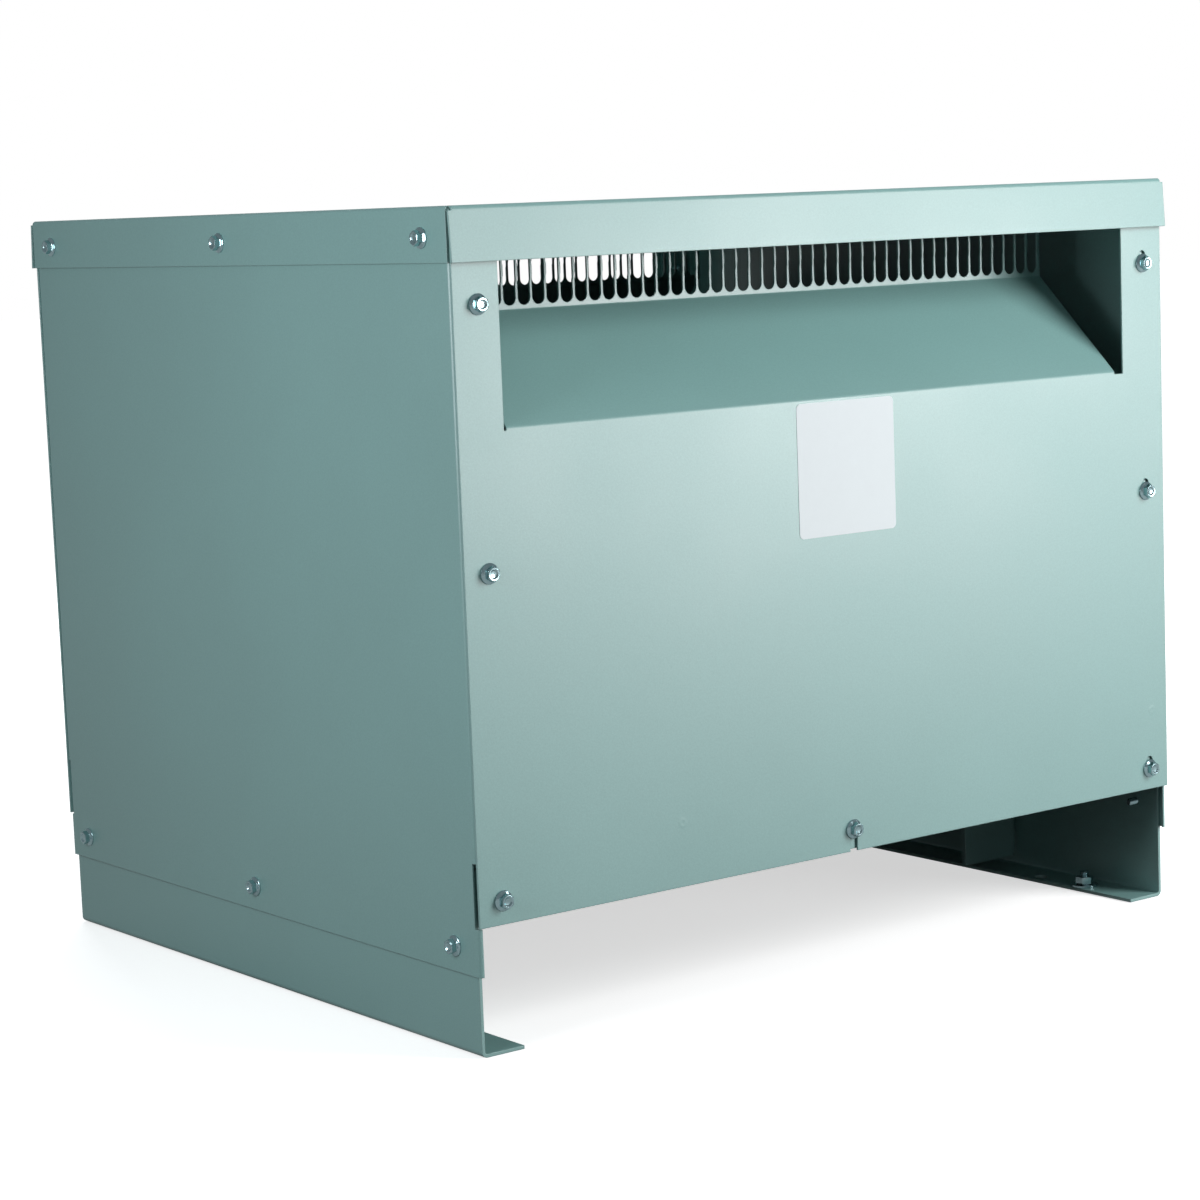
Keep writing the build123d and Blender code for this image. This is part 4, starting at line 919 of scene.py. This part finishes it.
def flat_washer(outer, bore, thickness):
    """Up the bore, out over the top, and back under, with the outer edges cut off."""
    rings = [
        ring(bore, 0.0),
        ring(bore, thickness),
        ring(outer - WASHER_SOFT, thickness),
        ring(outer, thickness - WASHER_SOFT),
        ring(outer, WASHER_SOFT),
        ring(outer - WASHER_SOFT, 0.0),
    ]
    return stacked(rings, closed=False)


low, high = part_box("ground_stud")
stud = stacked(thread_rings(BOLT["d"] / 2, BOLT["pitch"], high.z - low.z, 0.0))
add_piece("ground_stud_turned", copies(stud, [standing(low, high)]), "bright_zinc", ["ground_stud"])
print("ground stud:", in_mm(high - low))

low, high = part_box("ground_stud_washer")
washer = flat_washer((high.x - low.x) / 2, BOLT["d"] / 2 + BORE_GAP, high.z - low.z)
washer = copies(washer, [standing(low, high)])
add_piece("ground_stud_washer_turned", washer, "bright_zinc", ["ground_stud_washer"])
print("washer:", in_mm(high - low))

# %% [markdown]
# A capacitor's can is drawn from one sheet, with a rolled rim round a sunk lid, a crimped
# groove under the rim and two posts on collars. It could be spun from a curve with the
# Screw modifier, but its profile as a table of points goes through the same rings as the
# screws.

# %% Make the cans
CAN_LID = 123.0 * MM
POST_TOP = 133.0 * MM
POST_SHIFT = 12.0 * MM
CAN_SHARP = 40.0
# radius, and height from the lid, in mm: lid, rolled rim, crimp and rounded foot
CAN_PROFILE = (
    (8.0, 0.0), (26.0, 0.0), (29.4, -0.5), (30.0, 0.2), (30.1, 1.4), (30.5, 1.9), (31.0, 2.0),
    (31.5, 1.9), (31.9, 1.4), (32.0, 0.9), (31.9, -1.6), (31.0, -3.0), (30.8, -4.2),
    (31.0, -5.4), (31.9, -6.8), (32.0, -8.0), (32.0, -119.5), (31.4, -121.6), (29.8, -123.0),
)
# radius, and height from the post's top, in mm: grooved post and collar
POST_PROFILE = (
    (3.5, 0.0), (4.0, -0.5), (4.0, -3.6), (3.6, -4.0), (3.6, -4.4), (4.0, -4.8), (4.0, -6.2),
    (6.4, -6.4), (6.8, -6.9), (6.8, -9.0), (7.4, -9.4), (7.4, -10.6),
)


def from_profile(profile, top):
    """Rings with the profile's radii, at its heights from the top, both in mm."""
    return stacked([ring(radius * MM, top + height * MM) for radius, height in profile])


post = from_profile(POST_PROFILE, POST_TOP)
posts = copies(post, [((side * POST_SHIFT, 0, 0), UP) for side in (-1, 1)])
can = joined(from_profile(CAN_PROFILE, CAN_LID), posts)
can_places = [standing(low, high) for low, high in loose_parts("capacitors")]
cans = copies(can, can_places)
add_piece("capacitors_turned", cans, "can_aluminium", ["capacitors"], CAN_SHARP)
print("cans:", len(can_places))

# %% [markdown]
# A coil is wire wound on a square former. Its ring is a rounded rectangle: a corner point
# of a smaller rectangle plus a radius times a direction. The outer face rises and falls
# once for each turn of the wire under the tape. A bump could draw those turns, but then the
# outline of the coil would stay straight.

# %% Make the coils
WINDING_BUILD = 60.0 * MM
WINDING_CORNER = 4.0 * MM
WINDING_SOFT = 2.0 * MM
WINDING_SHARP = 60.0
CORNER_POINTS = 8
WIRE_PITCH = 3.2 * MM
WIRE_DEPTH = 0.5 * MM
ROWS_PER_WIRE = 6


def coil_ring(half_x, half_y, offset, height):
    """Corner of the inner rectangle plus (corner radius + offset) times a direction."""
    quarter = np.linspace(0.0, np.pi / 2.0, CORNER_POINTS)
    angle = quarter[None, :] + np.pi / 2.0 * np.arange(4)[:, None]
    side_x = np.array([1, -1, -1, 1])[:, None] * (half_x - WINDING_CORNER)
    side_y = np.array([1, 1, -1, -1])[:, None] * (half_y - WINDING_CORNER)
    radius = WINDING_CORNER + offset
    x, y = side_x + radius * np.cos(angle), side_y + radius * np.sin(angle)
    return np.stack([x, y, np.full_like(x, height)], axis=-1).reshape(-1, 3)


def winding(half_x, half_y, height):
    """Outer face = build - depth * (1 - |sin(pi * height / pitch)|), between soft edges."""
    soft = WINDING_SOFT
    rows = int((height - 2 * soft) / WIRE_PITCH) * ROWS_PER_WIRE + 1
    z = np.linspace(height - soft, soft, rows)
    turns = WINDING_BUILD - WIRE_DEPTH * (1.0 - np.abs(np.sin(np.pi * (z - soft) / WIRE_PITCH)))
    edge = WINDING_BUILD - soft
    outline = [(0.0, height), (edge, height), (edge + 0.6 * soft, height - 0.2 * soft)]
    outline += list(zip(turns, z))
    outline += [(edge + 0.6 * soft, 0.2 * soft), (edge, 0.0), (0.0, 0.0)]
    rings = [coil_ring(half_x, half_y, offset, level) for offset, level in outline]
    return stacked(rings, closed=False)


for node in ("primary_coil", "secondary_coil"):
    low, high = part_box(node)
    size = high - low
    coil = winding(size.x / 2 - WINDING_BUILD, size.y / 2 - WINDING_BUILD, size.z)
    coil = copies(coil, [standing(low, high)])
    add_piece(node + "_wound", coil, "coil_varnish", [node], WINDING_SHARP)
    print(node, in_mm(size))

# %% [markdown]
# The leads end on studs in the terminal block, each with a nut that holds it. Stud and nut
# could be two pieces, but they never part here, so one stack of rings runs from the tip of
# the thread over the nut down to the block.

# %% Make the terminal studs
STUD_LENGTH = 11.0 * MM


def terminal_stud():
    """Threaded end above a chamfered nut, from the tip down to the block."""
    corner, crown, drop = hexagon(BOLT)
    nut = BOLT["nut"]
    rings = thread_rings(BOLT["d"] / 2, BOLT["pitch"], STUD_LENGTH, nut + THREAD_START)
    rings += [ring(crown, nut), ring(corner, nut - drop), ring(corner, 0.4 * MM), ring(crown, 0.0)]
    return stacked(rings)


stud_places = outer_ends("terminal_studs", always(FRONT), STUD_LENGTH)
studs = copies(terminal_stud(), stud_places)
add_piece("terminal_studs_turned", studs, "terminal_brass", ["terminal_studs"])
print("terminal studs:", len(stud_places))
